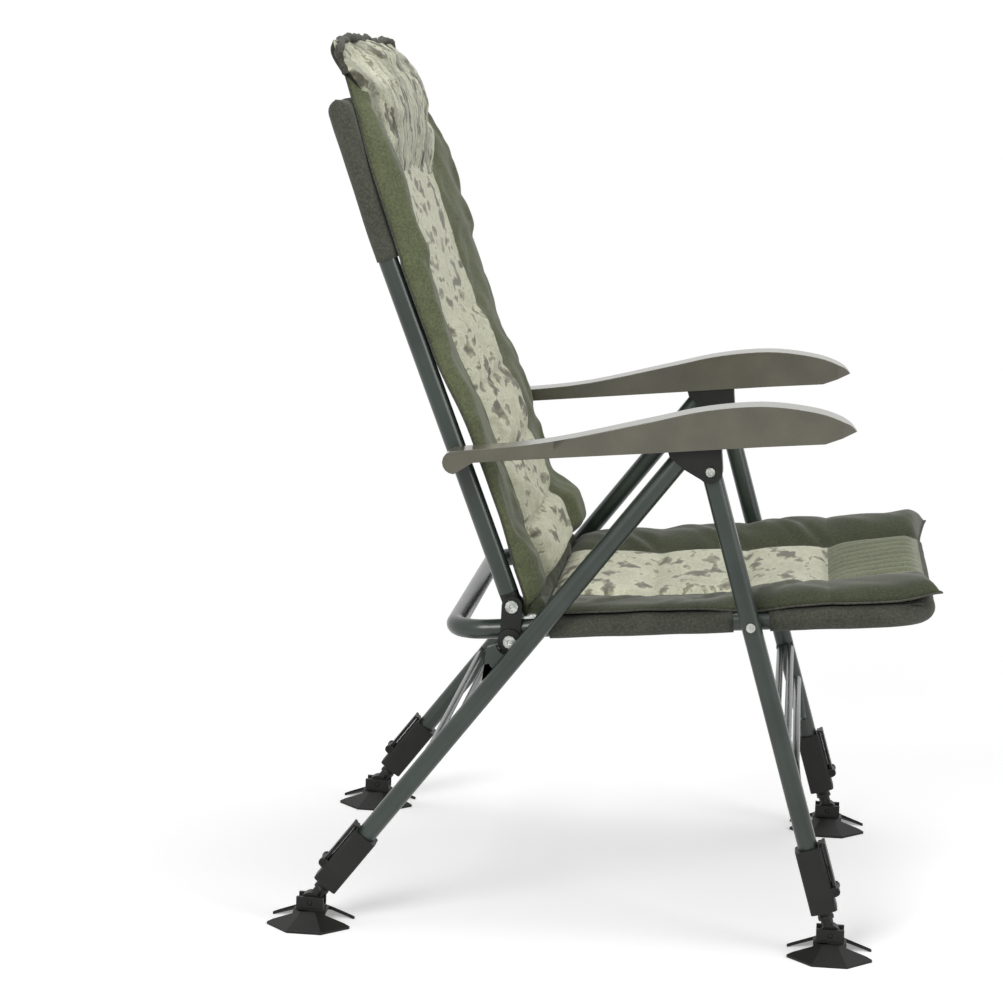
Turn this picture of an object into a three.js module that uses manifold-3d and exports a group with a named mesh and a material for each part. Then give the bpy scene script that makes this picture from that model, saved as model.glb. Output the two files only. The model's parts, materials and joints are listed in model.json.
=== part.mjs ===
// Folding armchair for the bank of a lake: steel tube frame, reclining back, four telescopic legs
// with swivelling mud feet, moulded armrests and a quilted mattress.
// Millimetres and degrees. X points forward, Y to the sitter's left, Z up, the floor is Z = 0.
import * as THREE from "three";
import { mergeVertices } from "three/addons/utils/BufferGeometryUtils.js";
import Module from "manifold-3d";

const wasm = await Module();
wasm.setup();

const degree = Math.PI / 180;
const fit = 0.3; // gap between two pieces that touch
const runningFit = 0.35; // gap round a pin that turns
const overrun = 40; // how far a cut runs past what it cuts
const roundSides = 16;
const boltSides = 10;
const bendStep = 30 * degree;

// Frame tube and where its pieces lie
const tubeRadius = 12.5;
const tubeWall = 1.5;
const tubeBore = tubeRadius - tubeWall;
const legSpacing = 574;
const seatInset = 33; // from a leg's centre line in to the seat's side tube
const topPivotForward = 424.8;
const topPivotHeight = 612.5;
const frontLegLean = 16.7 * degree;
const rearLegLean = 37.1 * degree;
const rearLegOffset = 37.6; // from the top pivot to the rear leg's centre line
const seatPivotDown = 202; // along the front leg from the top pivot
const footPivotHeight = 28;

// Seat frame, measured from the seat pivot along the seat
const seatTilt = 5 * degree;
const seatRearReach = 380;
const seatFrontReach = 216;
const seatBendRadius = 48;
const seatJointForward = 60; // where the front and the rear half of the frame meet
const backPivotBack = 300;
const backPivotRise = 31;
const lowerBoltBack = 305;
const lowerBoltDrop = 13.5;
const hingePlateRadius = 13;
const hingePlateThickness = 3;
const hingeDiscRadius = 16;
const hingeDiscThickness = 3.3;
const boltRadius = 4;
const boltHeadRadius = 8.4;
const boltHeadHeight = 3.2;
const smallHeadRadius = 6;
const recessShare = 0.4; // of a bolt head's radius
const armBoltHeadRadius = 7.4;
const seatStrapBack = 287;
const seatStrapWidth = 20;
const seatStrapThickness = 3;
const seatStrapEnd = 7; // past the side tube's centre
const strapScrewHeight = 1.8;

// Fabric and padding
const clothThickness = 1.5;
const seatClothBack = 255;
const seatClothFront = 168;
const legNotchHalf = 23; // bare tube each side of the seat pivot
const legNotchDepth = 22;
const cushionOverhang = 8; // past the centre of the side tubes
const cushionCorner = 16; // how far the corners draw in
const cushionPinch = 6; // how far the sides draw in at a channel
const cushionRoll = 6; // how far the edge rolls in above and below its middle
const channelHalfWidth = 13;
const seatCushionRear = 252;
const seatCushionFront = 234;
const seatCushionEdge = 14;
const seatCushionCrown = 17;
const seatCushionChannel = 8;
const seatChannels = [-133, -12, 88];

// Back, measured from the back pivot along the back tubes
const backLean = 21.6 * degree;
const backBendUp = 459;
const backUpperLength = 196;
const backBend = 2 * degree;
const backBendRadius = 130;
const backCornerRadius = 62;
const backTubeStart = 17; // above the back pivot
const backClothStart = 4; // above the bend
const backCushionBottom = 4;
const backCushionTop = 552;
const backFaceLow = 30; // the cushion's rear face at its lower end
const backCushionEdge = 15;
const backCushionCrown = 17;
const backCushionChannel = 9;
const backChannels = [82, 170, 262, 352, 446];
const pillowTop = 742;
const pillowInset = 14; // inside the centre of the side tubes
const pillowEdge = 19;
const pillowCrown = 36;

// Armrests, measured from the pivot on the back tube
const armPivotUp = 201;
const armReach = 494;
const armRise = 88;
const armInner = 18.4; // inside the legs' centre line
const armOuter = 25; // outside the legs' centre line
const armFrontOuter = 31.6;
const armWall = 2.2;
const armBossRadius = 14.6;
const armTipRound = 17;
const rackWidth = 10;
const rackPinRadius = 3;
const rackClearance = 1.2;
const rackRear = 250;
const rackFront = 426;

// Legs
const legGap = 1.2; // between a leg tube's lower end and the stop in its clamp
const clampLength = 84;
const clampWidth = 33;
const clampDepth = 34;
const clampCorner = 5;
const clampAboveFootPivot = 31;
const leverWidth = 24;
const leverThickness = 4;
const leverStandoff = 1.4;
const leverHookHalf = 8;
const leverHookThickness = 3;
const leverBarrelRadius = 5.2;
const leverPinRadius = 2.5;
const leverPivotUp = 24; // above the clamp's lower end
const leverPivotOut = 3.5; // outside the clamp's face
const leverLugRadius = 6;
const leverLugWidth = 3.5;
const extensionRadius = 10;
const extensionStem = 8;
const extensionCollar = 10.5;
const extensionCollarLength = 11;
const extensionGroove = 1;
const extensionShare = 0.648; // of the front leg between its clamp and the seat pivot
const tongueRadius = 13;
const tongueHalf = 8;
const footRadius = 58;
const footSides = 8;
const footRim = 3;
const footShoulder = 19;
const footShoulderRadius = 24;
const footSkin = 3;
const footCupHalfLength = 17.5;
const footCupHalfWidth = 13;
const footCupTop = 36;
const footCupEnd = 24; // height of the cup's low end walls
const footGapHalf = 19; // of the gap at each end of the foot
const footPinRadius = 3;

// Cross braces and the rests under the seat hinge
const braceRadius = 5;
const bracePairHalf = 7.5;
const rearBraceDown = 504;
const frontBraceDown = 359;
const bowBraceDown = 463;
const bowBraceRise = 64;
const bowBraceForward = 8;
const bowBraceRadius = 22;
const braceInset = 30;
const restLength = 52;
const restReach = 22;
const restThickness = 14;

// Top bracket
const cheekThickness = 3;
const bracketHeadRadius = 15;
const bracketPlugLength = 30;
const bracketRise = 32; // its flat top above the top pivot
const bracketBack = 56; // its rear corner behind the top pivot
const bracketFront = 12;
const rackPinBack = 20; // behind the top pivot
const rackPinRise = 40;
const rearTubeTop = 18.5; // below the bracket's origin

// Colour, roughness and metalness of each finish
const finishes = {
  framePaint: [0x47514a, 0.35, 0.4],
  zinc: [0xc9ccc8, 0.3, 0.9],
  blackPlastic: [0x33342f, 0.55, 0],
  armPlastic: [0x66624f, 0.6, 0],
  sleeveCloth: [0x4d5044, 0.9, 0],
  mattressCloth: [0x5f6449, 0.9, 0],
  printedCloth: [0xb4b596, 0.9, 0],
};

const sides = [
  ["left", 1],
  ["right", -1],
];
const halfLegs = legSpacing / 2;
const halfSeat = halfLegs - seatInset;
const cushionHalfWidth = halfSeat + cushionOverhang;
const pillowHalfWidth = halfSeat - pillowInset;
const armInnerFace = halfLegs - armInner;
const armOuterFace = halfLegs + armOuter;
const armFrontOuterFace = halfLegs + armFrontOuter;
const tubeOuter = halfSeat + tubeRadius; // outer face of the seat's side tubes
const plateInner = tubeOuter + fit;
const plateOuter = plateInner + hingePlateThickness;

// A closed three.js geometry as a solid that can be cut and joined.
function solid(geometry) {
  const bare = geometry.clone();
  bare.deleteAttribute("normal");
  bare.deleteAttribute("uv");
  const merged = mergeVertices(bare);
  const triVerts = new Uint32Array(merged.index.array);
  const vertProperties = new Float32Array(merged.attributes.position.array);
  const made = new wasm.Manifold(new wasm.Mesh({ numProp: 3, vertProperties, triVerts }));
  if (made.volume() > 0) return made;
  const turned = triVerts.map((_, i, all) => all[i - (i % 3) + 2 - (i % 3)]);
  return new wasm.Manifold(new wasm.Mesh({ numProp: 3, vertProperties, triVerts: turned }));
}

function geometryOf(body) {
  const { vertProperties, triVerts } = body.getMesh();
  const geometry = new THREE.BufferGeometry();
  geometry.setAttribute("position", new THREE.BufferAttribute(new Float32Array(vertProperties), 3));
  geometry.setIndex(new THREE.BufferAttribute(new Uint32Array(triVerts), 1));
  geometry.computeVertexNormals();
  return geometry;
}

function mesh(name, body, finish) {
  const [color, roughness, metalness] = finishes[finish];
  const material = new THREE.MeshStandardMaterial({ color, roughness, metalness, flatShading: true });
  const made = new THREE.Mesh(geometryOf(body), material);
  made.name = name;
  return made;
}

function joined(bodies) {
  return bodies.reduce((all, body) => all.add(body));
}

// A box between two places on each axis, given in either order.
function box(x0, x1, y0, y1, z0, z1) {
  const geometry = new THREE.BoxGeometry(Math.abs(x1 - x0), Math.abs(y1 - y0), Math.abs(z1 - z0));
  geometry.translate((x0 + x1) / 2, (y0 + y1) / 2, (z0 + z1) / 2);
  return solid(geometry);
}

// A round bar across the chair, between two places on Y.
function crossRod(radius, y0, y1, x = 0, z = 0, count = roundSides) {
  const geometry = new THREE.CylinderGeometry(radius, radius, Math.abs(y1 - y0), count);
  geometry.translate(x, (y0 + y1) / 2, z);
  return solid(geometry);
}

// A round bar up and down, between two places on Z.
function uprightRod(radius, z0, z1, x = 0, y = 0, count = roundSides) {
  const geometry = new THREE.CylinderGeometry(radius, radius, Math.abs(z1 - z0), count);
  geometry.rotateX(Math.PI / 2);
  geometry.translate(x, y, (z0 + z1) / 2);
  return solid(geometry);
}

// An outline of X and Z places, given a thickness across the chair.
function slab(shape, y0, y1, curveSegments = roundSides / 2) {
  const depth = Math.abs(y1 - y0);
  const geometry = new THREE.ExtrudeGeometry(shape, { depth, bevelEnabled: false, curveSegments });
  geometry.rotateX(Math.PI / 2);
  geometry.translate(0, Math.max(y0, y1), 0);
  return solid(geometry);
}

function polygon(points) {
  return new THREE.Shape(points.map(([x, z]) => new THREE.Vector2(x, z)));
}

// A solid turned round the Z axis from a profile of radius and height.
function turned(profile, count = roundSides, turn = 0) {
  const geometry = new THREE.LatheGeometry(
    profile.map(([radius, height]) => new THREE.Vector2(radius, height)),
    count,
  );
  geometry.rotateY(turn);
  geometry.rotateX(Math.PI / 2);
  return solid(geometry);
}

// The centre line of a bent tube, with one station at each end of a straight run and a few round each bend.
class BentRun extends THREE.Curve {
  constructor(stations) {
    super();
    this.stations = stations;
  }
  getPoint(t, target = new THREE.Vector3()) {
    const last = this.stations.length - 1;
    return target.copy(this.stations[Math.round(t * last)].point);
  }
  getPointAt(u, target) {
    return this.getPoint(u, target);
  }
  getTangentAt(u, target = new THREE.Vector3()) {
    const last = this.stations.length - 1;
    return target.copy(this.stations[Math.round(u * last)].tangent);
  }
}

function bentRun(corners, radii) {
  const stations = [];
  corners.forEach((corner, i) => {
    const before = corners[i - 1];
    const after = corners[i + 1];
    if (!before || !after) {
      const tangent = (before ? corner.clone().sub(before) : after.clone().sub(corner)).normalize();
      stations.push({ point: corner.clone(), tangent });
      return;
    }
    const into = corner.clone().sub(before).normalize();
    const away = after.clone().sub(corner).normalize();
    const turn = into.angleTo(away);
    const radius = radii[i - 1];
    const start = corner.clone().addScaledVector(into, -radius * Math.tan(turn / 2));
    const inward = away.clone().addScaledVector(into, -into.dot(away)).normalize();
    const centre = start.clone().addScaledVector(inward, radius);
    const steps = Math.max(2, Math.ceil(turn / bendStep));
    for (let k = 0; k <= steps; k++) {
      const angle = (turn * k) / steps;
      const point = centre.clone().addScaledVector(inward, -radius * Math.cos(angle));
      point.addScaledVector(into, radius * Math.sin(angle));
      const tangent = into.clone().multiplyScalar(Math.cos(angle));
      tangent.addScaledVector(inward, Math.sin(angle));
      stations.push({ point, tangent });
    }
  });
  return new BentRun(stations);
}

function sweptTube(run, outer, inner = 0, curveSegments = roundSides / 2) {
  const section = new THREE.Shape().absarc(0, 0, outer, 0, 2 * Math.PI);
  if (inner) section.holes.push(new THREE.Path().absarc(0, 0, inner, 0, 2 * Math.PI, true));
  const steps = run.stations.length - 1;
  const options = { steps, extrudePath: run, bevelEnabled: false, curveSegments };
  return solid(new THREE.ExtrudeGeometry(section, options));
}

const vector = (x, y, z) => new THREE.Vector3(x, y, z);

// A group whose own Z axis leans back by the angle given, with its origin at X and Z.
function leaningGroup(x, z, lean) {
  const group = new THREE.Group();
  group.position.set(x, 0, z);
  group.rotation.y = -lean;
  return group;
}

// Where a place along and above the seat lies in the chair's frame.
const seatPivotForward = topPivotForward + seatPivotDown * Math.sin(frontLegLean);
const seatPivotHeight = topPivotHeight - seatPivotDown * Math.cos(frontLegLean);
function seatPlace(along, above) {
  const x = seatPivotForward + along * Math.cos(seatTilt) - above * Math.sin(seatTilt);
  const z = seatPivotHeight + along * Math.sin(seatTilt) + above * Math.cos(seatTilt);
  return [x, z];
}
const [backPivotX, backPivotZ] = seatPlace(-backPivotBack, backPivotRise);
const [lowerBoltX, lowerBoltZ] = seatPlace(-lowerBoltBack, -lowerBoltDrop);
const armPivotX = backPivotX - armPivotUp * Math.sin(backLean);
const armPivotZ = backPivotZ + armPivotUp * Math.cos(backLean);
const rearTopX = topPivotForward - rearLegOffset * Math.cos(rearLegLean);
const rearTopZ = topPivotHeight + rearLegOffset * Math.sin(rearLegLean);
const frontLegLength = (topPivotHeight - footPivotHeight) / Math.cos(frontLegLean);
const rearLegLength = (rearTopZ - footPivotHeight) / Math.cos(rearLegLean);

// Seat frame

function seatFrameRear() {
  const corners = [
    vector(seatJointForward, -halfSeat, 0),
    vector(-seatRearReach, -halfSeat, 0),
    vector(-seatRearReach, halfSeat, 0),
    vector(seatJointForward, halfSeat, 0),
  ];
  const tube = sweptTube(bentRun(corners, [seatBendRadius, seatBendRadius]), tubeRadius, tubeBore);
  return tube.subtract(crossRod(boltRadius + runningFit, -halfLegs, halfLegs));
}

function seatFrameFront() {
  const start = seatJointForward + fit;
  const corners = [
    vector(start, -halfSeat, 0),
    vector(seatFrontReach, -halfSeat, 0),
    vector(seatFrontReach, halfSeat, 0),
    vector(start, halfSeat, 0),
  ];
  return sweptTube(bentRun(corners, [seatBendRadius, seatBendRadius]), tubeRadius, tubeBore);
}

// The plate that joins the back pivot to the lower bolt, on the outside of the seat tube.
function hingePlate(side) {
  const rise = backPivotRise + lowerBoltDrop;
  const run = lowerBoltBack - backPivotBack;
  const slope = Math.atan2(run, rise);
  const shape = new THREE.Shape();
  shape.absarc(-backPivotBack, backPivotRise, hingePlateRadius, -slope, Math.PI - slope);
  shape.absarc(-lowerBoltBack, -lowerBoltDrop, hingePlateRadius, Math.PI - slope, 2 * Math.PI - slope);
  const plate = slab(shape, side * plateInner, side * plateOuter);
  const holeRadius = boltRadius + runningFit;
  const across = [side * (plateInner - overrun), side * (plateOuter + overrun)];
  const upperHole = crossRod(holeRadius, ...across, -backPivotBack, backPivotRise);
  const lowerHole = crossRod(holeRadius, ...across, -lowerBoltBack, -lowerBoltDrop);
  return plate.subtract(upperHole).subtract(lowerHole);
}

const discInner = plateOuter + fit;
const discOuter = discInner + hingeDiscThickness;

function hingeDisc(side) {
  const place = [-lowerBoltBack, -lowerBoltDrop];
  const disc = crossRod(hingeDiscRadius, side * discInner, side * discOuter, ...place);
  const across = [side * (discInner - overrun), side * (discOuter + overrun)];
  return disc.subtract(crossRod(boltRadius + runningFit, ...across, ...place));
}

// A bolt across the chair with a flat round head and a six-sided recess.
function headedBolt(side, x, z, inner, outer, headRadius, headHeight) {
  const under = outer + fit;
  const top = under + headHeight;
  const shank = crossRod(boltRadius, side * inner, side * (under + fit), x, z, boltSides);
  const head = crossRod(headRadius, side * under, side * top, x, z, boltSides);
  const recess = crossRod(
    headRadius * recessShare,
    side * (under + headHeight / 2),
    side * (top + overrun),
    x,
    z,
    boltSides / 2,
  );
  return shank.add(head).subtract(recess);
}

function lowerHingeBolt(side) {
  const place = [-lowerBoltBack, -lowerBoltDrop];
  return headedBolt(side, ...place, plateInner, discOuter, boltHeadRadius, boltHeadHeight);
}

function backPivotBolt(side) {
  const inner = halfSeat - tubeRadius - boltRadius / 2;
  return headedBolt(side, 0, 0, inner, plateOuter, boltHeadRadius, boltHeadHeight);
}

// The seat pivot bolt carries the spacer that keeps the front leg clear of the seat tube.
function seatPivotBolt(side) {
  const inner = halfSeat - tubeRadius - boltRadius / 2;
  const outer = halfLegs + tubeRadius;
  const bolt = headedBolt(side, 0, 0, inner, outer, smallHeadRadius, boltHeadHeight);
  const spacer = crossRod(boltRadius * 2, side * (tubeOuter + fit), side * (halfLegs - tubeRadius - fit));
  return bolt.add(spacer);
}

function seatStrap() {
  const bottom = tubeRadius + fit;
  const top = bottom + seatStrapThickness;
  const half = halfSeat + seatStrapEnd;
  const middle = -seatStrapBack + seatStrapWidth / 2;
  const bar = box(-seatStrapBack, -seatStrapBack + seatStrapWidth, -half, half, bottom, top);
  const heads = sides.map(([, side]) =>
    uprightRod(smallHeadRadius, bottom, top + strapScrewHeight, middle, side * halfSeat),
  );
  return joined([bar, ...heads]);
}

// Seat fabric: a flat panel on top of the tubes, hemmed into sleeves round them, notched at the front legs.
function seatCloth() {
  const inner = tubeRadius + fit;
  const outer = inner + clothThickness;
  const panel = box(-seatClothBack, seatClothFront, -halfSeat, halfSeat, inner, outer);
  const sleeves = sides.map(([, side]) => {
    const ends = [-seatClothBack, seatClothFront].map((x) => vector(x, side * halfSeat, 0));
    return sweptTube(bentRun(ends, []), outer, inner);
  });
  const notches = sides.map(([, side]) => {
    const near = side * (halfSeat - legNotchDepth);
    const far = side * (halfSeat + legNotchDepth);
    return box(-legNotchHalf, legNotchHalf, near, far, -outer - fit, outer + fit);
  });
  return joined([panel, ...sleeves]).subtract(joined(notches));
}

// Padding

// How deep the sewn channels press in at a place along a pad, from 0 to 1.
function pinchAt(place, channels) {
  const depths = channels.map((at) => Math.exp(-(((place - at) / channelHalfWidth) ** 2)));
  return Math.max(0, ...depths);
}

// A closed crowned pad that lies along X from start to end, on the face given by under(place).
// Its edge bulges at mid height, and its sides and top are drawn in at the sewn channels.
function pad(sizes) {
  const { start, end, halfWidth, under, edge, crown, endPower } = sizes;
  const { channels, channelDepth, rows, columns } = sizes;
  const positions = [];
  const length = end - start;
  const wide = (place, u) => {
    const corner = cushionCorner * Math.abs(2 * u - 1) ** 12;
    return halfWidth - corner - cushionPinch * pinchAt(place, channels);
  };
  const rolledPoint = (i, j, top) => {
    const u = i / rows;
    const v = (2 * j) / columns - 1;
    const place = start + cushionRoll + (length - 2 * cushionRoll) * u;
    const crowned = crown * (1 - v ** 4) * (1 - Math.abs(2 * u - 1) ** endPower);
    const sewn = channelDepth * pinchAt(place, channels) * (1 - v ** 6);
    const height = top ? edge + crowned - sewn : 0;
    return [place, v * (wide(place, u) - cushionRoll), under(place) + height];
  };
  const edgePoint = (i, j) => {
    const u = i / rows;
    const place = start + length * u;
    return [place, ((2 * j) / columns - 1) * wide(place, u), under(place) + edge / 2];
  };
  for (const top of [false, true])
    for (let i = 0; i <= rows; i++)
      for (let j = 0; j <= columns; j++) positions.push(...rolledPoint(i, j, top));
  const border = [];
  for (let j = 0; j < columns; j++) border.push([0, j]);
  for (let i = 0; i < rows; i++) border.push([i, columns]);
  for (let j = columns; j > 0; j--) border.push([rows, j]);
  for (let i = rows; i > 0; i--) border.push([i, 0]);
  border.forEach(([i, j]) => positions.push(...edgePoint(i, j)));
  const perFace = (rows + 1) * (columns + 1);
  const at = ([i, j], top) => top * perFace + i * (columns + 1) + j;
  const index = [];
  const quad = (a, b, c, d) => index.push(a, b, c, a, c, d);
  for (let i = 0; i < rows; i++)
    for (let j = 0; j < columns; j++) {
      quad(at([i, j], 1), at([i + 1, j], 1), at([i + 1, j + 1], 1), at([i, j + 1], 1));
      quad(at([i, j], 0), at([i, j + 1], 0), at([i + 1, j + 1], 0), at([i + 1, j], 0));
    }
  border.forEach((here, k) => {
    const next = (k + 1) % border.length;
    const edgeHere = 2 * perFace + k;
    const edgeNext = 2 * perFace + next;
    quad(at(border[next], 0), at(here, 0), edgeHere, edgeNext);
    quad(edgeNext, edgeHere, at(here, 1), at(border[next], 1));
  });
  const geometry = new THREE.BufferGeometry();
  geometry.setAttribute("position", new THREE.Float32BufferAttribute(positions, 3));
  geometry.setIndex(index);
  return geometry;
}

function seatCushion() {
  const bottom = tubeRadius + clothThickness + 2 * fit;
  return solid(
    pad({
      start: -seatCushionRear,
      end: seatCushionFront,
      halfWidth: cushionHalfWidth,
      under: () => bottom,
      edge: seatCushionEdge,
      crown: seatCushionCrown,
      endPower: 6,
      channels: seatChannels,
      channelDepth: seatCushionChannel,
      rows: 30,
      columns: 12,
    }),
  );
}

// A pad that lies along X with its face up, stood up so that it lies along Z with its face forward.
function stoodUp(geometry) {
  geometry.rotateX(Math.PI);
  geometry.rotateY(-Math.PI / 2);
  return solid(geometry);
}

// Where the padding's rear face lies ahead of the back tubes, at a height above the back pivot.
const backFaceBend = tubeRadius + clothThickness + 2 * fit;
function backFace(up) {
  if (up < backBendUp) return backFaceLow + ((backFaceBend - backFaceLow) * up) / backBendUp;
  return backFaceBend + (up - backBendUp) * Math.tan(backBend);
}

function backCushion() {
  return stoodUp(
    pad({
      start: backCushionBottom,
      end: backCushionTop,
      halfWidth: cushionHalfWidth,
      under: backFace,
      edge: backCushionEdge,
      crown: backCushionCrown,
      endPower: 8,
      channels: backChannels,
      channelDepth: backCushionChannel,
      rows: 36,
      columns: 10,
    }),
  );
}

function headrestPillow() {
  return stoodUp(
    pad({
      start: backCushionTop + 2 * fit,
      end: pillowTop,
      halfWidth: pillowHalfWidth,
      under: backFace,
      edge: pillowEdge,
      crown: pillowCrown,
      endPower: 3,
      channels: [],
      channelDepth: 0,
      rows: 12,
      columns: 12,
    }),
  );
}

// Back frame

const backTopForward = backUpperLength * Math.sin(backBend);
const backTopUp = backBendUp + backUpperLength * Math.cos(backBend);

function backFrame() {
  const corners = [
    vector(0, -halfSeat, backTubeStart),
    vector(0, -halfSeat, backBendUp),
    vector(backTopForward, -halfSeat, backTopUp),
    vector(backTopForward, halfSeat, backTopUp),
    vector(0, halfSeat, backBendUp),
    vector(0, halfSeat, backTubeStart),
  ];
  const radii = [backBendRadius, backCornerRadius, backCornerRadius, backBendRadius];
  const tube = sweptTube(bentRun(corners, radii), tubeRadius, tubeBore);
  return tube.subtract(crossRod(boltRadius + runningFit, -halfLegs, halfLegs, 0, armPivotUp, boltSides));
}

// The flat-sided end piece plugged into the foot of a back tube, with the eye for the pivot bolt.
function backEndFitting(side) {
  const inner = side * (halfSeat - tubeRadius);
  const outer = side * (halfSeat + tubeRadius);
  const stop = backTubeStart - fit;
  const eye = crossRod(tubeRadius, inner, outer);
  const neck = uprightRod(tubeRadius, 0, stop, 0, side * halfSeat);
  const plug = uprightRod(tubeBore - fit, 0, stop + bracketPlugLength, 0, side * halfSeat);
  const body = joined([eye, neck, plug]);
  return body.subtract(crossRod(boltRadius + runningFit, inner, outer, 0, 0, boltSides));
}

// The pocket that slips over the top of the back frame, made in the frame of the upper, bent part.
function backCloth() {
  const inner = tubeRadius + fit;
  const outer = inner + clothThickness;
  const top = backUpperLength + tubeRadius;
  const straight = backUpperLength - backCornerRadius;
  const panel = box(inner, outer, -halfSeat, halfSeat, backClothStart, top);
  const sleeves = sides.map(([, side]) => {
    const corners = [vector(0, side * halfSeat, backClothStart), vector(0, side * halfSeat, straight)];
    return sweptTube(bentRun(corners, []), outer, inner);
  });
  const corner = halfSeat + tubeRadius;
  const trims = sides.map(([, side]) =>
    box(-overrun, overrun, side * corner, side * (corner + overrun), straight, top + overrun),
  );
  return joined([panel, ...sleeves]).subtract(joined(trims));
}

// Armrests

// Top and underside of the armrest as shares of its reach and its rise, from the rear to the tip.
const armTopShares = [
  [0.225, 0.341],
  [0.474, 0.688],
  [0.621, 0.898],
  [0.769, 1.0],
  [0.9, 0.943],
  [0.975, 0.807],
];
const armTipShare = 0.682;
const armUndersideShares = [
  [0.923, 0.511],
  [0.769, 0.432],
  [0.474, 0.261],
  [0.049, 0.011],
];

// The side view of the armrest, or with an inset that of the hollow inside it, which runs out below.
function armOutline(inset) {
  const place = ([along, rise]) => new THREE.Vector2(along * armReach, rise * armRise);
  const shape = new THREE.Shape();
  const boss = armBossRadius - inset;
  const top = armTopShares.map(place);
  const under = armUndersideShares.map(place);
  top.forEach((point) => (point.y -= inset));
  if (inset) under.forEach((point) => (point.y -= armRise));
  const reach = armReach - 2 * inset;
  top.forEach((point) => (point.x = Math.min(point.x, reach)));
  under.forEach((point) => (point.x = Math.min(point.x, reach)));
  shape.absarc(0, 0, boss, 1.5 * Math.PI, 0.5 * Math.PI, true);
  shape.splineThru([...top, new THREE.Vector2(reach, armTipShare * armRise - inset)]);
  if (inset) shape.lineTo(reach, -armRise);
  under.forEach((point) => shape.lineTo(point.x, point.y));
  return shape;
}

// The plan view of the armrest: narrow at its pivot, wider at the hand.
function armPlan(side, inset) {
  const back = -armBossRadius - overrun;
  const front = armReach - inset;
  const widen = armReach / 2;
  const inner = armInnerFace + inset;
  const points = [
    [back, inner],
    [front - armTipRound, inner],
    [front, inner + armTipRound],
    [front, armFrontOuterFace - inset - armTipRound],
    [front - armTipRound, armFrontOuterFace - inset],
    [widen, armFrontOuterFace - inset],
    [widen / 2, armOuterFace - inset],
    [back, armOuterFace - inset],
  ];
  const shape = new THREE.Shape(points.map(([x, y]) => new THREE.Vector2(x, side * y)));
  const depth = armReach;
  const geometry = new THREE.ExtrudeGeometry(shape, { depth, bevelEnabled: false });
  geometry.translate(0, 0, -depth / 2);
  return solid(geometry);
}

function armrest(side) {
  const across = [side * (armInnerFace - overrun), side * (armFrontOuterFace + overrun)];
  const shell = slab(armOutline(0), ...across, 4).intersect(armPlan(side, 0));
  const hollow = slab(armOutline(armWall), ...across, 4).intersect(armPlan(side, armWall));
  const innerWallHole = crossRod(
    boltRadius + runningFit,
    side * (armInnerFace - overrun),
    side * (armInnerFace + armWall + fit),
    0,
    0,
    boltSides,
  );
  return shell.subtract(hollow).subtract(innerWallHole);
}

// The arched rail inside the armrest whose notches the bracket's pin sits under.
const rackPinX = topPivotForward - rackPinBack;
const rackPinZ = topPivotHeight + rackPinRise;
const rackRestX = rackPinX - armPivotX;
const rackRestZ = rackPinZ - armPivotZ;
const rackArchShares = [
  [0.0, 1.0],
  [0.125, 0.76],
  [0.3, 0.32],
  [0.42, 0.13],
  [0.53, 0.02],
  [0.65, 0.0],
  [0.75, 0.07],
  [0.85, 0.22],
  [1.0, 0.55],
];
const rackArch = 9.5;
const rackDip = 1.7; // the arch's lowest point below its height over the pin at rest
const rackNotchRadius = 5.4;
const rackNotchRecline = [-12.3, 0, 19, 36];
const armFollowShare = 0.7; // how much of the back's recline the armrest takes back

// Where the pin lies in the armrest's frame when the back is reclined by the angle given.
function rackPinPlace(recline) {
  const pivotX = backPivotX - armPivotUp * Math.sin(backLean + recline);
  const pivotZ = backPivotZ + armPivotUp * Math.cos(backLean + recline);
  const turn = recline * (1 - armFollowShare);
  const dx = rackPinX - pivotX;
  const dz = rackPinZ - pivotZ;
  return [dx * Math.cos(turn) + dz * Math.sin(turn), dz * Math.cos(turn) - dx * Math.sin(turn)];
}

function rack(side) {
  const middle = side * halfLegs;
  const length = rackFront - rackRear;
  const low = rackRestZ - rackDip + rackPinRadius + rackClearance;
  const lower = rackArchShares.map(([along, rise]) => [rackRear + along * length, low + rise * rackArch]);
  const ceiling = armOutline(armWall + fit);
  const outline = polygon([...lower, [rackFront, armReach], [rackRear, armReach]]);
  const bar = slab(outline, middle - rackWidth / 2, middle + rackWidth / 2);
  const inside = slab(ceiling, middle - rackWidth, middle + rackWidth, 4);
  const notches = rackNotchRecline.map((recline) => {
    const [x, z] = rackPinPlace(recline * degree);
    return crossRod(rackNotchRadius, middle - rackWidth, middle + rackWidth, x, z, boltSides);
  });
  return bar.intersect(inside).subtract(joined(notches));
}

function armPivotBolt(side) {
  const inner = halfSeat - tubeRadius - boltRadius / 2;
  const wall = armInnerFace + armWall;
  return headedBolt(side, 0, 0, inner, wall, armBoltHeadRadius, boltHeadHeight);
}

// Legs, each made in its own frame: the leg runs down -Z from the top pivot or from the bracket's origin.

const clampTop = clampLength + clampAboveFootPivot;
const extensionInside = extensionShare * (frontLegLength - clampTop - seatPivotDown);

function frontLegTube(side) {
  const lower = -(frontLegLength - clampTop) - clampLength / 2;
  const corners = [vector(0, side * halfLegs, tubeRadius), vector(0, side * halfLegs, lower)];
  const tube = sweptTube(bentRun(corners, []), tubeRadius, tubeBore);
  const inner = side * (halfLegs - tubeRadius);
  const outer = side * (halfLegs + tubeRadius);
  const roundEnd = crossRod(tubeRadius, inner, outer);
  const below = box(-tubeRadius, tubeRadius, inner, outer, lower, 0);
  const holes = [0, -seatPivotDown].map((z) =>
    crossRod(boltRadius + runningFit, side * (halfLegs - overrun), side * (halfLegs + overrun), 0, z),
  );
  return tube.intersect(roundEnd.add(below)).subtract(joined(holes));
}

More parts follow.
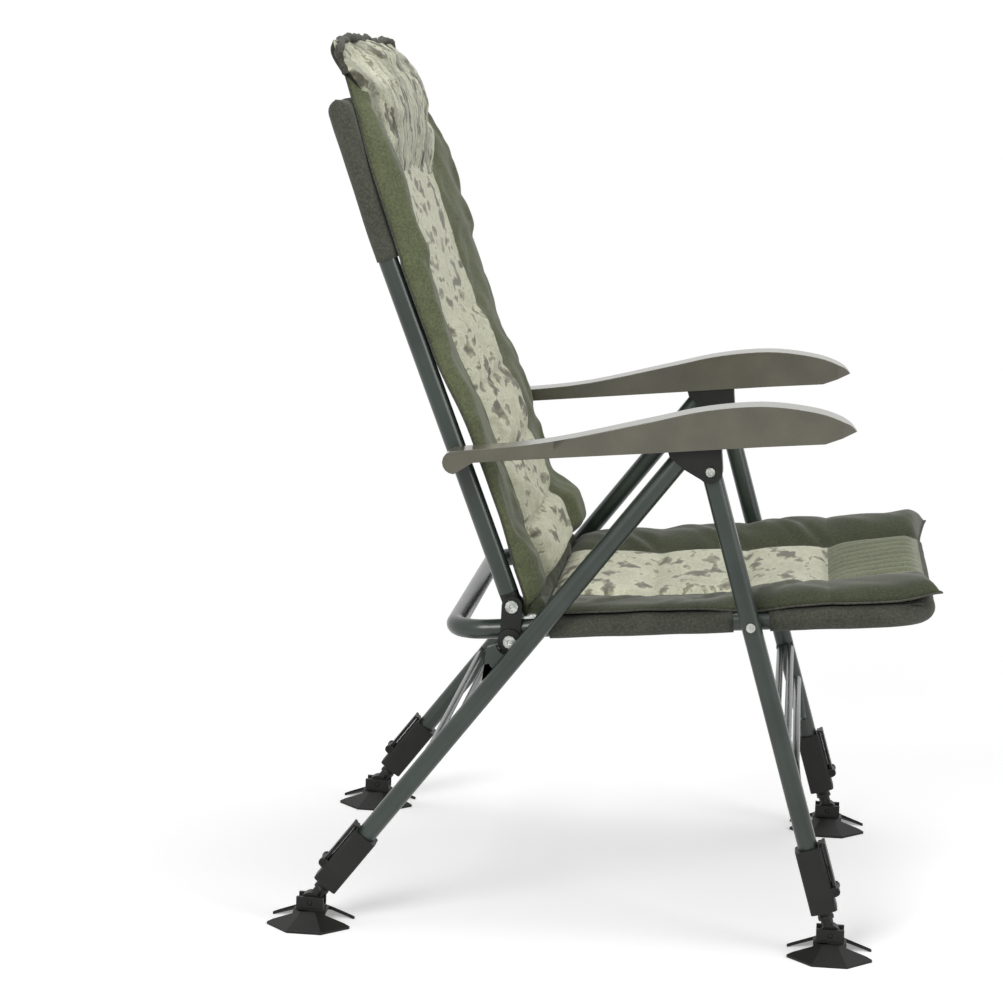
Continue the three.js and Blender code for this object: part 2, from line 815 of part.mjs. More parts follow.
function rearLegTube(side) {
  const lower = -(rearLegLength - clampTop) - clampLength / 2;
  const corners = [vector(0, side * halfLegs, -rearTubeTop), vector(0, side * halfLegs, lower)];
  return sweptTube(bentRun(corners, []), tubeRadius, tubeBore);
}

// A pair of thin cross tubes, with a saddle plate at each end that is shaped to the leg.
function pairedBrace(down) {
  const reach = halfLegs - tubeRadius;
  const rods = [-bracePairHalf, bracePairHalf].map((x) =>
    crossRod(braceRadius, -reach, reach, x, -down, boltSides),
  );
  const plates = sides.map(([, side]) => {
    const half = bracePairHalf + braceRadius;
    const inner = side * (reach - braceRadius);
    const outer = side * halfLegs;
    return box(-half, half, inner, outer, -down - braceRadius, -down + braceRadius);
  });
  const legs = sides.map(([, side]) =>
    uprightRod(tubeRadius + fit, -down - overrun, -down + overrun, 0, side * halfLegs),
  );
  return joined([...rods, ...plates]).subtract(joined(legs));
}

// The bowed tube that rises from the lower ends of the front legs.
function bowBrace() {
  const reach = halfLegs;
  const inner = halfLegs - braceInset;
  const corners = [
    vector(0, -reach, -bowBraceDown),
    vector(0, -inner, -bowBraceDown),
    vector(bowBraceForward, -inner, -bowBraceDown + bowBraceRise),
    vector(bowBraceForward, inner, -bowBraceDown + bowBraceRise),
    vector(0, inner, -bowBraceDown),
    vector(0, reach, -bowBraceDown),
  ];
  const bend = braceInset / 3;
  const radii = [bend, bowBraceRadius, bowBraceRadius, bend];
  const tube = sweptTube(bentRun(corners, radii), braceRadius, 0, 5);
  const legs = sides.map(([, side]) =>
    uprightRod(tubeRadius + fit, -bowBraceDown - overrun, -bowBraceDown + overrun, 0, side * halfLegs),
  );
  return tube.subtract(joined(legs));
}

// The moulded bracket at the top: a plug in the rear leg, two cheeks round the front leg, and the rack pin.
function topBracket(side) {
  const half = tubeRadius + runningFit + cheekThickness;
  const middle = side * halfLegs;
  const pivot = [rearLegOffset, 0];
  const turn = (dx, dz) => [
    pivot[0] + dx * Math.cos(rearLegLean) - dz * Math.sin(rearLegLean),
    pivot[1] + dx * Math.sin(rearLegLean) + dz * Math.cos(rearLegLean),
  ];
  const seatOnTube = -rearTubeTop + fit;
  const shape = new THREE.Shape();
  shape.moveTo(-tubeRadius, seatOnTube);
  shape.lineTo(...turn(-bracketBack, bracketRise));
  shape.lineTo(...turn(bracketFront, bracketRise));
  shape.absarc(...pivot, bracketHeadRadius, rearLegLean, rearLegLean - Math.PI * 0.75, true);
  shape.lineTo(tubeRadius, seatOnTube);
  const body = slab(shape, middle - half, middle + half, 5);
  const plugEnd = seatOnTube - bracketPlugLength;
  const plug = uprightRod(tubeBore - fit, plugEnd, seatOnTube + tubeRadius, 0, middle);
  const slotHalf = tubeRadius + runningFit;
  const slotRadius = tubeRadius + 2 * runningFit;
  const slotEdge = rearLegOffset - slotRadius;
  const across = [middle - slotHalf, middle + slotHalf];
  const slotRound = crossRod(slotRadius, ...across, ...pivot);
  const slotBelow = box(slotEdge, slotEdge + 2 * overrun, ...across, -2 * overrun, 0);
  const slotForward = slab(polygon(legStrip(pivot, slotRadius)), ...across);
  const hole = crossRod(boltRadius + runningFit, middle - overrun, middle + overrun, ...pivot, boltSides);
  const pinPlace = turn(-rackPinBack, rackPinRise);
  const pin = crossRod(rackPinRadius, middle - rackWidth, middle + rackWidth, ...pinPlace, boltSides);
  const neckWide = [middle - rackPinRadius * 2, middle + rackPinRadius * 2];
  const neckEnds = [rackPinRise, bracketRise / 2].map((rise) =>
    crossRod(rackPinRadius, ...neckWide, ...turn(-rackPinBack, rise), boltSides),
  );
  const neck = joined(neckEnds).hull();
  const slots = joined([slotRound, slotBelow, slotForward, hole]);
  return joined([body, plug]).subtract(slots).add(pin).add(neck);
}

// The strip that the front leg takes up in the bracket's frame, from the pivot down the leg.
function legStrip(pivot, halfWidth) {
  const angle = frontLegLean + rearLegLean;
  const along = [Math.sin(angle), -Math.cos(angle)];
  const aside = [Math.cos(angle) * halfWidth, Math.sin(angle) * halfWidth];
  const length = 2 * overrun;
  return [
    [pivot[0] - aside[0], pivot[1] - aside[1]],
    [pivot[0] - aside[0] + along[0] * length, pivot[1] - aside[1] + along[1] * length],
    [pivot[0] + aside[0] + along[0] * length, pivot[1] + aside[1] + along[1] * length],
    [pivot[0] + aside[0], pivot[1] + aside[1]],
  ];
}

function topPivotBolt(side) {
  const half = tubeRadius + runningFit + cheekThickness;
  const inner = halfLegs - half;
  const outer = halfLegs + half;
  const headFace = inner - fit;
  const innerHead = crossRod(smallHeadRadius, side * headFace, side * (headFace - boltHeadHeight / 2));
  return headedBolt(side, 0, 0, headFace, outer, smallHeadRadius, boltHeadHeight).add(innerHead);
}

// Where the lower hinge bolt lies in the rear leg's frame.
const lowerBoltInLeg = (() => {
  const dx = lowerBoltX - rearTopX;
  const dz = lowerBoltZ - rearTopZ;
  const x = dx * Math.cos(rearLegLean) - dz * Math.sin(rearLegLean);
  const z = dx * Math.sin(rearLegLean) + dz * Math.cos(rearLegLean);
  return [x, z];
})();

// The cradle welded to the rear leg, on which the seat's hinge disc rests.
function seatRest(side) {
  const [x, z] = lowerBoltInLeg;
  const points = [
    [0, z],
    [x - restReach / 3, z - hingeDiscRadius / 2],
    [-tubeRadius - restReach, z - hingeDiscRadius * 1.4],
    [-tubeRadius, z - restLength - hingeDiscRadius / 2],
    [0, z - restLength],
  ];
  const inner = side * discInner;
  const outer = side * (discInner + restThickness);
  const web = slab(polygon(points), inner, outer);
  const across = [side * (discInner - overrun), side * (discInner + overrun)];
  const disc = crossRod(hingeDiscRadius + fit, ...across, x, z);
  const leg = uprightRod(tubeRadius + fit, z - restLength - overrun, z + overrun, 0, side * halfLegs);
  return web.subtract(disc).subtract(leg);
}

// Telescopic lower leg pieces, with the origin at the foot pivot

function roundedBar(width, depth, corner, z0, z1) {
  const shape = new THREE.Shape();
  const x = width / 2 - corner;
  const y = depth / 2 - corner;
  shape.absarc(x, y, corner, 0, Math.PI / 2);
  shape.absarc(-x, y, corner, Math.PI / 2, Math.PI);
  shape.absarc(-x, -y, corner, Math.PI, 1.5 * Math.PI);
  shape.absarc(x, -y, corner, 1.5 * Math.PI, 2 * Math.PI);
  const options = { depth: z1 - z0, bevelEnabled: false, curveSegments: 3 };
  const geometry = new THREE.ExtrudeGeometry(shape, options);
  geometry.translate(0, 0, z0);
  return solid(geometry);
}

// The clamp housing: the upper half of its bore takes the leg tube, the lower half guides the extension.
// facing is 1 when its lever is on the front and -1 when it is on the rear.
function clampHousing(facing) {
  const low = clampAboveFootPivot;
  const middle = low + clampLength / 2;
  const block = roundedBar(clampDepth, clampWidth, clampCorner, low, clampTop);
  const [pivotX, pivotZ] = leverPivot(facing);
  const lugs = [-1, 1].map((end) => {
    const y0 = end * (leverWidth / 2 + fit);
    const y1 = end * (leverWidth / 2 + fit + leverLugWidth);
    const web = box(0, pivotX, y0, y1, pivotZ - leverLugRadius, pivotZ + leverLugRadius);
    return web.add(crossRod(leverLugRadius, y0, y1, pivotX, pivotZ, boltSides));
  });
  const legBore = uprightRod(tubeRadius + fit, middle - legGap, clampTop + overrun);
  const rodBore = uprightRod(extensionRadius + fit, low - overrun, clampTop);
  const barrelHalf = leverWidth / 2 + fit;
  const barrelRoom = crossRod(leverBarrelRadius + fit, -barrelHalf, barrelHalf, pivotX, pivotZ, boltSides);
  const camHalf = barrelHalf / 2;
  const camRise = leverBarrelRadius / 2;
  const camWindow = box(0, pivotX, -camHalf, camHalf, pivotZ - camRise, pivotZ + camRise);
  const pinHole = crossRod(leverPinRadius + runningFit, -clampWidth, clampWidth, pivotX, pivotZ, boltSides);
  return joined([block, ...lugs]).subtract(joined([legBore, rodBore, barrelRoom, camWindow, pinHole]));
}

function leverPivot(facing) {
  return [facing * (clampDepth / 2 + leverPivotOut), clampAboveFootPivot + leverPivotUp];
}

// The cam lever lies along the housing's face, hooks over its upper edge and carries its own pin.
function clampLever(facing) {
  const [pivotX, pivotZ] = leverPivot(facing);
  const near = facing * (clampDepth / 2 + leverStandoff);
  const far = near + facing * leverThickness;
  const hookLow = clampTop + legGap;
  const hookTop = hookLow + leverHookThickness;
  const hookNear = facing * (tubeRadius + leverStandoff);
  const half = leverWidth / 2;
  const plate = box(near, far, -half, half, pivotZ, hookTop);
  const hook = box(hookNear, far, -leverHookHalf, leverHookHalf, hookLow, hookTop);
  const barrel = crossRod(leverBarrelRadius, -half, half, pivotX, pivotZ, boltSides);
  const pinHalf = half + leverLugWidth + fit;
  const pin = crossRod(leverPinRadius, -pinHalf, pinHalf, pivotX, pivotZ, boltSides);
  return joined([plate, hook, barrel, pin]);
}

// The sliding lower leg: a tongue on the foot pin, a neck, a two-ring collar and the rod inside the leg.
function legExtension() {
  const stop = clampAboveFootPivot - fit;
  const collarLow = stop - extensionCollarLength;
  const ring = extensionCollarLength / 3;
  const waist = extensionCollar - extensionGroove;
  const profile = [
    [0, 0],
    [extensionStem, 0],
    [extensionStem, collarLow],
    [extensionCollar, collarLow],
    [extensionCollar, collarLow + ring],
    [waist, collarLow + 1.5 * ring],
    [extensionCollar, collarLow + 2 * ring],
    [extensionCollar, stop],
    [extensionRadius, stop],
    [extensionRadius, clampTop + extensionInside],
    [0, clampTop + extensionInside],
  ];
  const rod = turned(profile, boltSides);
  const tongue = crossRod(tongueRadius, -tongueHalf, tongueHalf);
  const across = [-tongueRadius, tongueRadius];
  const pinHole = crossRod(footPinRadius + runningFit, ...across, 0, 0, boltSides);
  return rod.add(tongue).subtract(pinHole);
}

// The mud foot: an eight-sided dish on the floor, open at its two ends, and the cup that holds the tongue.
// Its origin is the foot pivot.
function mudFoot() {
  const floor = -footPivotHeight;
  const shoulder = floor + footShoulder;
  const profile = [
    [0, shoulder - footSkin],
    [footShoulderRadius - footSkin, shoulder - footSkin],
    [footRadius - footSkin, floor],
    [footRadius, floor],
    [footRadius, floor + footRim],
    [footShoulderRadius, shoulder],
    [0, shoulder],
  ];
  const dish = turned(profile, footSides, Math.PI / footSides);
  const cupX = footCupHalfLength;
  const cupY = footCupHalfWidth;
  const cup = box(-cupX, cupX, -cupY, cupY, shoulder - footSkin, floor + footCupTop);
  const roomX = tongueRadius + fit;
  const roomY = tongueHalf + runningFit;
  const room = box(-roomX, roomX, -roomY, roomY, shoulder - footSkin / 2 - tongueRadius, overrun);
  const tongueRoom = crossRod(tongueRadius + fit, -roomY, roomY);
  const roomAbove = room.intersect(box(-roomX, roomX, -roomY, roomY, 0, overrun)).add(tongueRoom);
  const swing = box(-overrun, overrun, -roomY, roomY, floor + footCupEnd, overrun);
  const gaps = [-1, 1].map((end) => {
    const x0 = end * (footShoulderRadius - footSkin);
    const x1 = end * (footRadius + overrun);
    return box(x0, x1, -footGapHalf, footGapHalf, floor - overrun, overrun);
  });
  const pinHole = crossRod(footPinRadius + runningFit, -2 * cupY, 2 * cupY, 0, 0, boltSides);
  return dish.add(cup).subtract(joined([roomAbove, swing, pinHole, ...gaps]));
}

function footPin() {
  const half = footCupHalfWidth + fit;
  return crossRod(footPinRadius, -half, half, 0, 0, boltSides);
}

// The whole chair

const chair = new THREE.Group();

const seat = leaningGroup(seatPivotForward, seatPivotHeight, 0);
seat.rotation.y = -seatTilt;
seat.add(mesh("seat_frame_rear", seatFrameRear(), "framePaint"));
seat.add(mesh("seat_frame_front", seatFrameFront(), "framePaint"));
seat.add(mesh("seat_rear_strap", seatStrap(), "zinc"));
seat.add(mesh("seat_sling", seatCloth(), "sleeveCloth"));
seat.add(mesh("seat_cushion", seatCushion(), "mattressCloth"));
for (const [name, side] of sides) {
  seat.add(mesh(`hinge_plate_${name}`, hingePlate(side), "blackPlastic"));
  seat.add(mesh(`hinge_disc_${name}`, hingeDisc(side), "blackPlastic"));
  seat.add(mesh(`hinge_lower_bolt_${name}`, lowerHingeBolt(side), "zinc"));
  seat.add(mesh(`seat_pivot_bolt_${name}`, seatPivotBolt(side), "zinc"));
}
chair.add(seat);

const back = leaningGroup(backPivotX, backPivotZ, backLean);
back.add(mesh("back_frame", backFrame(), "framePaint"));
back.add(mesh("back_cushion", backCushion(), "mattressCloth"));
back.add(mesh("headrest_pillow", headrestPillow(), "printedCloth"));
for (const [name, side] of sides) {
  back.add(mesh(`back_pivot_bolt_${name}`, backPivotBolt(side), "zinc"));
  back.add(mesh(`back_end_fitting_${name}`, backEndFitting(side), "blackPlastic"));
}
const upperBack = leaningGroup(0, backBendUp, -backBend);
upperBack.add(mesh("back_sling", backCloth(), "sleeveCloth"));
back.add(upperBack);
chair.add(back);

for (const [name, side] of sides) {
  const arm = leaningGroup(armPivotX, armPivotZ, 0);
  arm.add(mesh(`armrest_${name}`, armrest(side), "armPlastic"));
  arm.add(mesh(`armrest_rack_${name}`, rack(side), "blackPlastic"));
  arm.add(mesh(`arm_pivot_bolt_${name}`, armPivotBolt(side), "zinc"));
  chair.add(arm);
}

const frontLegs = leaningGroup(topPivotForward, topPivotHeight, frontLegLean);
frontLegs.add(mesh("front_cross_brace", pairedBrace(frontBraceDown), "framePaint"));
frontLegs.add(mesh("front_bow_brace", bowBrace(), "framePaint"));
const rearLegs = leaningGroup(rearTopX, rearTopZ, -rearLegLean);
rearLegs.add(mesh("rear_cross_brace", pairedBrace(rearBraceDown), "framePaint"));
for (const [name, side] of sides) {
  frontLegs.add(mesh(`front_leg_tube_${name}`, frontLegTube(side), "framePaint"));
  frontLegs.add(mesh(`top_pivot_bolt_${name}`, topPivotBolt(side), "zinc"));
  rearLegs.add(mesh(`rear_leg_tube_${name}`, rearLegTube(side), "framePaint"));
  rearLegs.add(mesh(`top_bracket_${name}`, topBracket(side), "blackPlastic"));
  rearLegs.add(mesh(`seat_rest_${name}`, seatRest(side), "framePaint"));
}
chair.add(frontLegs, rearLegs);

const legKinds = [
  ["front", topPivotForward, topPivotHeight, frontLegLean, frontLegLength, 1],
  ["rear", rearTopX, rearTopZ, -rearLegLean, rearLegLength, -1],
];
for (const [kind, x, z, lean, length, facing] of legKinds)
  for (const [name, side] of sides) {
    const footX = x + length * Math.sin(lean);
    const footZ = z - length * Math.cos(lean);
    const lower = leaningGroup(footX, footZ, lean);
    lower.position.y = side * halfLegs;
    lower.add(mesh(`clamp_housing_${kind}_${name}`, clampHousing(facing), "blackPlastic"));
    lower.add(mesh(`clamp_lever_${kind}_${name}`, clampLever(facing), "blackPlastic"));
    lower.add(mesh(`leg_extension_${kind}_${name}`, legExtension(), "blackPlastic"));
    chair.add(lower);
    const foot = new THREE.Group();
    foot.position.set(footX, side * halfLegs, footZ);
    foot.add(mesh(`mud_foot_${kind}_${name}`, mudFoot(), "blackPlastic"));
    foot.add(mesh(`foot_pin_${kind}_${name}`, footPin(), "blackPlastic"));
    chair.add(foot);
  }

// The part's origin is on the floor under the middle of the whole chair.
const part = new THREE.Group();
part.add(chair);
part.updateMatrixWorld(true);
const bounds = new THREE.Box3().setFromObject(chair, true);
chair.position.set(-(bounds.min.x + bounds.max.x) / 2, 0, -bounds.min.z);

export default part;
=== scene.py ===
"""Looks of the folding bankside recliner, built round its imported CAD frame.

Every length that a class holds is in millimetres. Meshes are made in metres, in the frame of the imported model:
X forward, Y to the sitter's left, Z up, with the floor at zero.
"""

import json
import logging
import math
from dataclasses import dataclass, field
from enum import Enum
from typing import Any, Callable, Iterable, Sequence

import bmesh
import bpy
from mathutils import Matrix, Vector, noise


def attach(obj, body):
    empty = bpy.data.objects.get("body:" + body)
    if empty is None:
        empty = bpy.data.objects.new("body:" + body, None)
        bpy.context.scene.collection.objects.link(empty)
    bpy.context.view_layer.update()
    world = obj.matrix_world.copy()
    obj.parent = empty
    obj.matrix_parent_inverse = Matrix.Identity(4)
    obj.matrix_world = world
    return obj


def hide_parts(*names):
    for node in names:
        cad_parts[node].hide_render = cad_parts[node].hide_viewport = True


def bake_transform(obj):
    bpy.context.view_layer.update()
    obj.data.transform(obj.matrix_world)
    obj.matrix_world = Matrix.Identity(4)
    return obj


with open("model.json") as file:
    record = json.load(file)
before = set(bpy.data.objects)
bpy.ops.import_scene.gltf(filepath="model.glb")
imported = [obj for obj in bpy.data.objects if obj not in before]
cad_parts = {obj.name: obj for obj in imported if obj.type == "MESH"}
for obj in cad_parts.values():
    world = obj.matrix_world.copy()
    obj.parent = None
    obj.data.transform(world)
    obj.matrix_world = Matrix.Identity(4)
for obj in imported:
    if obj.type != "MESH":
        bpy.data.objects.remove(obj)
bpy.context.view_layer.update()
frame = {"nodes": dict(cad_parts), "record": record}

log = logging.getLogger("recliner")

MM = 0.001

Piece = bpy.types.Object
Material = bpy.types.Material
Tree = bpy.types.NodeTree
Node = bpy.types.Node
Source = Node | bpy.types.NodeSocket
Measure = Callable[[float, float], float]
Surface = tuple[dict[str, float], dict[str, Source]]
Flat = list[list[tuple[float, float]]]
Sheet = tuple[list[Vector], list[list[int]], Flat]


class Side(Enum):
    """The two sides of the chair, by the sign of Y."""

    LEFT = 1
    RIGHT = -1


class Cloth(Enum):
    """The cloths of a pad, by their place among its materials."""

    WOVEN = 0
    PRINTED = 1
    RIBBED = 2
    BACKING = 3


# Tools


def linear(hex_colour: str) -> tuple[float, float, float, float]:
    """Turns an sRGB hex colour into a linear one.

    Args:
        hex_colour: Six hex digits after a hash sign.

    Returns:
        The linear red, green and blue, and an alpha of 1.
    """
    values = []
    for start in (1, 3, 5):
        value = int(hex_colour[start : start + 2], 16) / 255
        values.append(value / 12.92 if value <= 0.04045 else ((value + 0.055) / 1.055) ** 2.4)
    return (values[0], values[1], values[2], 1.0)


def add_node(tree: Tree, kind: str, settings: dict | None = None, feeds: dict | None = None) -> Node:
    """Adds one node to a tree, with its settings and the links into it.

    Args:
        tree: The node tree.
        kind: The node's type.
        settings: Values by the name of the node's property, or by the name or number of its input.
        feeds: Nodes, for their first output, or output sockets, by the name or number of the input that
            each one feeds.

    Returns:
        The new node.
    """
    node = tree.nodes.new(kind)
    for name, value in (settings or {}).items():
        if isinstance(name, str) and hasattr(node, name):
            setattr(node, name, value)
        else:
            node.inputs[name].default_value = value
    for name, source in (feeds or {}).items():
        socket = source.outputs[0] if isinstance(source, Node) else source
        tree.links.new(socket, node.inputs[name])
    return node


def ramp(tree: Tree, value: Source, stops: Sequence[tuple[float, str]]) -> Node:
    """Adds a colour ramp.

    Args:
        tree: The node tree.
        value: What runs along the ramp.
        stops: Places along the ramp with their hex colours.

    Returns:
        The ramp's node.
    """
    node = add_node(tree, "ShaderNodeValToRGB", feeds={0: value})
    elements = node.color_ramp.elements
    while len(elements) < len(stops):
        elements.new(0.5)
    for element, (place, colour) in zip(elements, stops):
        element.position = place
        element.color = linear(colour)
    return node


def new_mesh(name: str, points: Iterable[Vector], faces: Sequence[Sequence[int]], outwards: bool = True) -> Piece:
    """Makes a mesh object with smooth faces.

    Args:
        name: The piece's name.
        points: Vertices, in metres.
        faces: Vertex numbers of each face.
        outwards: Whether the faces are turned to point outwards.

    Returns:
        The object, linked to the scene.
    """
    mesh = bpy.data.meshes.new(name)
    mesh.from_pydata([tuple(p) for p in points], [], [tuple(f) for f in faces])
    if outwards:
        work = bmesh.new()
        work.from_mesh(mesh)
        bmesh.ops.recalc_face_normals(work, faces=work.faces)
        work.to_mesh(mesh)
        work.free()
    mesh.shade_smooth()
    piece = bpy.data.objects.new(name, mesh)
    bpy.context.scene.collection.objects.link(piece)
    return piece


def wear(piece: Piece, *finishes: Material) -> None:
    """Gives a piece its materials, in the order of its material slots."""
    piece.data.materials.clear()
    for finish in finishes:
        piece.data.materials.append(finish)


@dataclass(frozen=True)
class SidePlane:
    """A place in the chair's side view with a lean: along runs forward, up runs upwards and back."""

    x: float
    z: float
    lean: float

    def place(self, along: float, across: float, up: float) -> Vector:
        """Turns millimetres along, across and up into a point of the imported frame.

        Args:
            along: Distance forward.
            across: Distance to the sitter's left.
            up: Distance up.

        Returns:
            The point, in metres.
        """
        turn = math.radians(self.lean)
        x = self.x + along * math.cos(turn) - up * math.sin(turn)
        z = self.z + along * math.sin(turn) + up * math.cos(turn)
        return Vector((x, across, z)) * MM


SEAT_PLANE = SidePlane(184.801, 419.02, 5.0)
BACK_PLANE = SidePlane(-116.76, 423.755, 21.6)
BACK_BEND_UP = 459.0
BACK_BEND = 2.0
HALF_SEAT = 254.0
TUBE_RADIUS = 12.5
SHEET_THICKNESS = 1.2
SLING_SAG = 13.0
PAD_GRID = 7.0
PAD_REACH = 265.0
PIPING_RADIUS = 1.3
RIB_SPACING = 30.0
RIB_HEIGHT = 7.5
SEAM_CREASE = 0.95
STUFFING_FRAMES = 20
TOUCHING = 0.01
FAR_OFF = 1e9
# The folds that run out from a channel: how wide, how far past it, and how deep as a share of the deepest.
BORDER_FOLDS = ((7.0, 0.0, 1.0), (9.0, 19.0, -0.45), (6.0, 34.0, 0.4))


def upper_back(forward: float, across: float, up: float) -> Vector:
    """Places a point given in the frame of the upper part of the back, above its bend.

    Args:
        forward: Millimetres ahead of the upper tubes' centre.
        across: Millimetres to the sitter's left.
        up: Millimetres above the bend.

    Returns:
        The point, in metres.
    """
    turn = math.radians(BACK_BEND)
    along = forward * math.cos(turn) + up * math.sin(turn)
    rise = BACK_BEND_UP - forward * math.sin(turn) + up * math.cos(turn)
    return BACK_PLANE.place(along, across, rise)


def between(stops: Sequence[tuple[float, float]], at: float) -> float:
    """Reads a value off a line of stops, eased from each stop to the next.

    Args:
        stops: Places and their values, in order.
        at: The place to read.

    Returns:
        The value there.
    """
    for (low, before), (high, after) in zip(stops, stops[1:]):
        if at <= high:
            share = max(0.0, (at - low) / (high - low))
            return before + (after - before) * share * share * (3 - 2 * share)
    return stops[-1][1]


def lumps(x: float, y: float, z: float) -> float:
    """Gives a smooth random value at a place, mostly between -1 and 1."""
    return noise.noise(Vector((x, y, z)))


def sling_dip(along: float, across: float) -> float:
    """Gives how far the seat sling hangs down between its tubes, in millimetres."""
    wide = max(0.0, 1 - (across / 250) ** 2) ** 0.8
    long = max(0.0, 1 - ((along + 20) / 240) ** 4)
    return SLING_SAG * wide * long


def rounded_path(corners: Sequence[Vector], radii: Sequence[float], step: float = 6.0) -> list[Vector]:
    """Rounds the inner corners of a path.

    Args:
        corners: The path's ends and corners, in metres.
        radii: The bend radius at each inner corner, in metres.
        step: The turn between two points of a bend, in degrees.

    Returns:
        The points of the rounded path.
    """
    points = [corners[0]]
    for before, corner, after, radius in zip(corners, corners[1:], corners[2:], radii):
        arriving = (corner - before).normalized()
        leaving = (after - corner).normalized()
        turn = arriving.angle(leaving)
        reach = radius * math.tan(turn / 2)
        centre_way = (leaving - arriving).normalized()
        centre = corner - arriving * reach + (centre_way - centre_way.project(arriving)).normalized() * radius
        count = max(2, round(math.degrees(turn) / step))
        spoke = corner - arriving * reach - centre
        axis = arriving.cross(leaving).normalized()
        points += [centre + Matrix.Rotation(turn * k / count, 3, axis) @ spoke for k in range(count + 1)]
    points.append(corners[-1])
    return points


def evened(path: Sequence[Vector], step: float) -> list[Vector]:
    """Adds points to a path so that none are further apart than a step.

    Args:
        path: The path's points.
        step: The longest distance between two points, in metres.

    Returns:
        The path with its added points.
    """
    points = [path[0]]
    for start, end in zip(path, path[1:]):
        count = max(1, math.ceil((end - start).length / step))
        points += [start.lerp(end, k / count) for k in range(1, count + 1)]
    return points


def swept(
    path: Sequence[Vector], radius: Measure, sides: int = 24, closed_ends: bool = True
) -> tuple[list[Vector], list[list[int]]]:
    """Sweeps a round section along a path.

    Args:
        path: The centre line, in metres.
        radius: The radius in metres at a length along the path in metres and an angle round it.
        sides: How many points go round the section.
        closed_ends: Whether the two ends get a face.

    Returns:
        The vertices and the faces.
    """
    points: list[Vector] = []
    faces: list[list[int]] = []
    forward = (path[1] - path[0]).normalized()
    across = forward.orthogonal().normalized()
    run = 0.0
    for i, centre in enumerate(path):
        ahead = path[min(i + 1, len(path) - 1)] - path[max(i - 1, 0)]
        turned = forward.rotation_difference(ahead.normalized())
        forward = ahead.normalized()
        across = (turned @ across).normalized()
        up = forward.cross(across)
        if i:
            run += (centre - path[i - 1]).length
        for k in range(sides):
            angle = 2 * math.pi * k / sides
            points.append(centre + (across * math.cos(angle) + up * math.sin(angle)) * radius(run, angle))
    for i in range(len(path) - 1):
        for k in range(sides):
            here, beside = i * sides + k, i * sides + (k + 1) % sides
            faces.append([here, beside, beside + sides, here + sides])
    if closed_ends:
        faces.append(list(range(sides)))
        faces.append([(len(path) - 1) * sides + k for k in reversed(range(sides))])
    return points, faces


# Finishes


def clouds(tree: Tree, place: Source, size_mm: float, detail: float, **more: float) -> Node:
    """Adds a random field whose lumps have about a size in millimetres."""
    settings = {"Scale": 1000 / size_mm, "Detail": detail, **more}
    return add_node(tree, "ShaderNodeTexNoise", settings, {"Vector": place})


def spread(
    tree: Tree, value: Source, low: float, high: float, start: float = 0.0, end: float = 1.0
) -> Node:
    """Adds a map of a value, from the range between start and end to the one between low and high."""
    settings = {"From Min": start, "From Max": end, "To Min": low, "To Max": high}
    return add_node(tree, "ShaderNodeMapRange", settings, {"Value": value})


def scaled_sum(tree: Tree, value: Source, factor: float, added: Source) -> Node:
    """Adds the sum of a value times a factor and another value."""
    return add_node(tree, "ShaderNodeMath", {"operation": "MULTIPLY_ADD", 1: factor}, {0: value, 2: added})


def tinted(tree: Tree, colour: Source, by: Source, share: float = 1.0) -> bpy.types.NodeSocket:
    """Multiplies a colour by a share of another one."""
    settings = {"data_type": "RGBA", "blend_type": "MULTIPLY", 0: share}
    return add_node(tree, "ShaderNodeMix", settings, {6: colour, 7: by}).outputs[2]


def relief(
    tree: Tree, height: Source, strength: float, depth_mm: float, under: Source | None = None
) -> Node:
    """Adds a relief of a depth in millimetres, on top of another one where that is given."""
    feeds = {"Height": height} if under is None else {"Height": height, "Normal": under}
    return add_node(tree, "ShaderNodeBump", {"Strength": strength, "Distance": depth_mm * MM}, feeds)


@dataclass(frozen=True)
class Finish:
    """What all finishes share: a name, and a material with one principled shader."""

    name: str

    def surface(self, tree: Tree, spot: Source, cut: Source) -> Surface:
        """Gives the shader's constants and feeds, which each finish does in its own way."""
        raise NotImplementedError

    def material(self) -> Material:
        """Builds the finish.

        Returns:
            The material.
        """
        material = bpy.data.materials.new(self.name)
        material.use_nodes = True
        tree = material.node_tree
        tree.nodes.clear()
        place = add_node(tree, "ShaderNodeTexCoord").outputs
        constants, feeds = self.surface(tree, place["Object"], place["UV"])
        shader = add_node(tree, "ShaderNodeBsdfPrincipled", constants, feeds)
        add_node(tree, "ShaderNodeOutputMaterial", feeds={0: shader})
        return material


@dataclass(frozen=True)
class PowderCoat(Finish):
    """Powder coat, sprayed and baked on steel tube: a deep green-grey with a soft gloss and faint orange peel."""

    name: str = "powder coat baked gloss"
    deep: str = "#212a25"
    light: str = "#303a34"
    peel_mm: float = 2.4
    cloud_mm: float = 90.0
    roughness: tuple[float, float] = (0.26, 0.38)

    def surface(self, tree: Tree, spot: Source, cut: Source) -> Surface:
        """Gives the powder coat's constants and feeds."""
        cloud = clouds(tree, spot, self.cloud_mm, 3.0)
        peel = clouds(tree, spot, self.peel_mm, 1.0)
        constants = {"Specular IOR Level": 0.4, "Coat Weight": 0.28, "Coat Roughness": 0.14}
        return constants, {
            "Base Color": ramp(tree, cloud, [(0.3, self.deep), (0.7, self.light)]),
            "Roughness": spread(tree, cloud, *self.roughness),
            "Normal": relief(tree, peel, 0.12, 0.3),
        }


